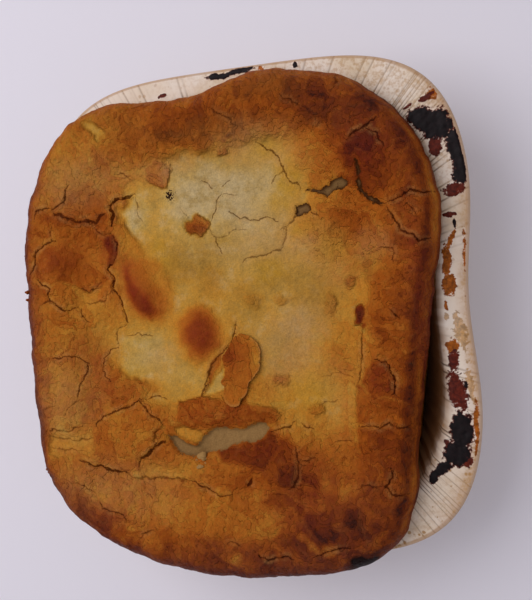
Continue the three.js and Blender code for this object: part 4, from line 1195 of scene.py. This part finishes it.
    # Relief of the leaves and the grain, low on the dough in the gaps
    rise = add("MapRange", {0: part, 1: 0.88, 2: 1.0})
    height = add("Math", {0: leaf, 1: rise}, operation="ADD")
    leaf_height = add("Math", {0: flaky, 1: 0.45}, operation="MULTIPLY")
    lumps = add("Math", {0: grain[1.4], 1: 0.9, 2: grain[3.6]}, operation="MULTIPLY_ADD")
    lumps = add("Math", {0: grain[0.5], 1: 0.35, 2: lumps}, operation="MULTIPLY_ADD")
    height = add("Math", {0: height, 1: leaf_height, 2: lumps}, operation="MULTIPLY_ADD")
    evenness = add("MapRange", {0: gap, 3: 1.0, 4: 0.25})
    strength = add("Math", {0: unevenness, 1: evenness}, operation="MULTIPLY")
    bump = add("Bump", {"Height": height, "Strength": strength, "Distance": 1.1 * MM})
    tree.links.new(bump, shader.inputs["Normal"])
    return material


def pressed_board():
    """Uncoated pressed board: cream, faintly fibrous and matt, stained by fat and burnt gravy."""
    material, tree, shader, add = new_material("pressed_board")
    place = add("TexCoord", {}, "Object")
    names = ("burnt", "rusty", "amber", "grease", "crease", "toast", "spatter", "baked", "grime", "brim")
    fields = {name: add("Attribute", {}, "Fac", attribute_name=name) for name in names}
    cloud = add("TexNoise", {"Vector": place, "Scale": per_metre(14), "Detail": 4})
    ragged = add("TexNoise", {"Vector": place, "Scale": per_metre(1.5), "Detail": 6, "Roughness": 0.7})
    colour = add("ValToRGB", {0: cloud}, stops=[(0.30, "#F3E9D8"), (0.75, "#E0CCAA"), (0.5, "#EEDFC8")])
    # Browning down the wall, partly painted shade, then creases, creases darker near the inner edge of the
    # flange, and the brim
    for name, hex_code, share in (
            ("baked", "#9C744E", 1.0), ("crease", "#7A5A3A", 0.5), ("grime", "#3A2014", 0.7),
            ("brim", "#A87848", 0.6)):
        cover = add("Math", {0: fields[name], 1: share}, operation="MULTIPLY")
        colour = add("Mix", {0: cover, 6: colour, 7: linear(hex_code)}, 2, data_type="RGBA")
    blotch = add("MapRange", {0: ragged, 1: 0.46, 2: 0.62, 3: 0.05, 4: 0.7})
    blotch = add("Math", {0: blotch, 1: fields["toast"]}, operation="MULTIPLY")
    colour = add("Mix", {0: blotch, 6: colour, 7: linear("#B98E54")}, 2, data_type="RGBA")

    # Spatter: some of the cells of a pattern hold a spot, more of them where the board is toasted
    cells = {"Vector": place, "Scale": per_metre(1.7)}
    cell_colour = add("TexVoronoi", cells, "Color")
    chance = add("SeparateColor", {0: cell_colour})
    size = add("SeparateColor", {0: cell_colour}, 1)
    size = add("MapRange", {0: size, 3: 0.65, 4: 0.95})
    away = add("Math", {0: ragged, 1: 0.9, 2: add("TexVoronoi", cells, "Distance")}, operation="MULTIPLY_ADD")
    dot = add("Math", {0: size, 1: away}, operation="SUBTRACT")
    strength = add("MapRange", {0: fields["spatter"], 3: 0.4, 4: 0.85})
    dot = add("MapRange", {0: dot, 1: 0.0, 2: 0.16, 4: strength})
    chance = add("Math", {0: fields["toast"], 1: 0.45, 2: chance}, operation="MULTIPLY_ADD")
    some = add("MapRange", {0: chance, 1: 0.86, 2: 0.98})
    spot = add("Math", {0: dot, 1: some}, operation="MULTIPLY")
    colour = add("Mix", {0: spot, 6: colour, 7: linear("#AC8048")}, 2, data_type="RGBA")

    # Stains by colour, how ragged their edges are and how well they cover, each darker where it is thick
    thickness = add("MapRange", {0: ragged, 1: 0.38, 2: 0.62})
    gloss = 0.0
    for name, hex_code, tear, share in (
            ("grease", "#B0803C", 5, 0.7), ("amber", "#9A520E", 4.5, 1.0), ("rusty", "#5A1D0D", 4, 1.0),
            ("burnt", "#150D0D", 3, 1.0)):
        torn = add("Math", {0: ragged, 1: tear, 2: fields[name]}, operation="MULTIPLY_ADD")
        cover = add("MapRange", {0: torn, 1: tear / 2 + 0.25, 2: tear / 2 + 0.37, 4: share})
        thin, thick = (tuple(shade * part for part in linear(hex_code)) for shade in (1.5, 0.55))
        stain = add("Mix", {0: thickness, 6: thin, 7: thick}, 2, data_type="RGBA")
        colour = add("Mix", {0: cover, 6: colour, 7: stain}, 2, data_type="RGBA")
        gloss = add("Math", {0: gloss, 1: cover}, operation="MAXIMUM")
    tree.links.new(colour, shader.inputs["Base Color"])
    tree.links.new(add("MapRange", {0: gloss, 3: 0.75, 4: 0.45}), shader.inputs["Roughness"])
    shader.inputs["Specular IOR Level"].default_value = 0.12
    fibre = add("TexNoise", {"Vector": place, "Scale": per_metre(0.7), "Detail": 4})
    bump = add("Bump", {"Height": fibre, "Strength": 0.25, "Distance": 0.15 * MM})
    tree.links.new(bump, shader.inputs["Normal"])
    return material


def matt_floor():
    """Plain matt paper: a pale surface that only takes shadows."""
    material, _, shader, _ = new_material("matt_floor")
    shader.inputs["Base Color"].default_value = linear("#E7E6EA")
    shader.inputs["Roughness"].default_value = 0.9
    return material


def set_stage():
    bpy.ops.object.select_all(action="DESELECT")
    bpy.ops.mesh.primitive_plane_add(size=STAGE_WIDTH)
    floor = bpy.context.object
    floor.name = "floor"
    floor.data.materials.append(matt_floor())
    bpy.ops.object.light_add(type="AREA", location=WINDOW_PLACE)
    window = bpy.context.object
    window.rotation_euler = Vector(WINDOW_DIRECTION).to_track_quat("-Z", "Y").to_euler()
    window.data.size = WINDOW_WIDTH
    window.data.energy = WINDOW_POWER
    window.data.color = WINDOW_COLOUR
    world = bpy.data.worlds.new("room")
    bpy.context.scene.world = world
    world.use_nodes = True
    backdrop = world.node_tree.nodes["Background"]
    backdrop.inputs["Color"].default_value = linear("#F3EEFA")
    backdrop.inputs["Strength"].default_value = ROOM_LIGHT
    bpy.context.scene.view_settings.view_transform = "Standard"


def set_camera():
    aim = Vector(AIM) * MM + Vector((TRAY_MIDDLE.x, TRAY_MIDDLE.y, 0))
    bpy.ops.object.camera_add(rotation=(0, LEAN, TURN))
    camera = bpy.context.object
    camera.data.lens = LENS
    camera.data.clip_start = 0.01
    bpy.context.view_layer.update()
    camera.location = aim + camera.matrix_world.to_3x3() @ Vector((0, 0, AIM_DISTANCE * MM))
    bpy.context.scene.camera = camera


set_camera()
set_stage()
crust = baked_crust()
board = pressed_board()
for piece, material, node in (
        (pie_crust(), crust, "pie"), (raised_flake(), crust, "pie"), (loose_crumbs(), crust, "pie"),
        (board_tray(), board, "tray")):
    piece.data.materials.append(material)
    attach(piece, "root")
    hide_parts(node)
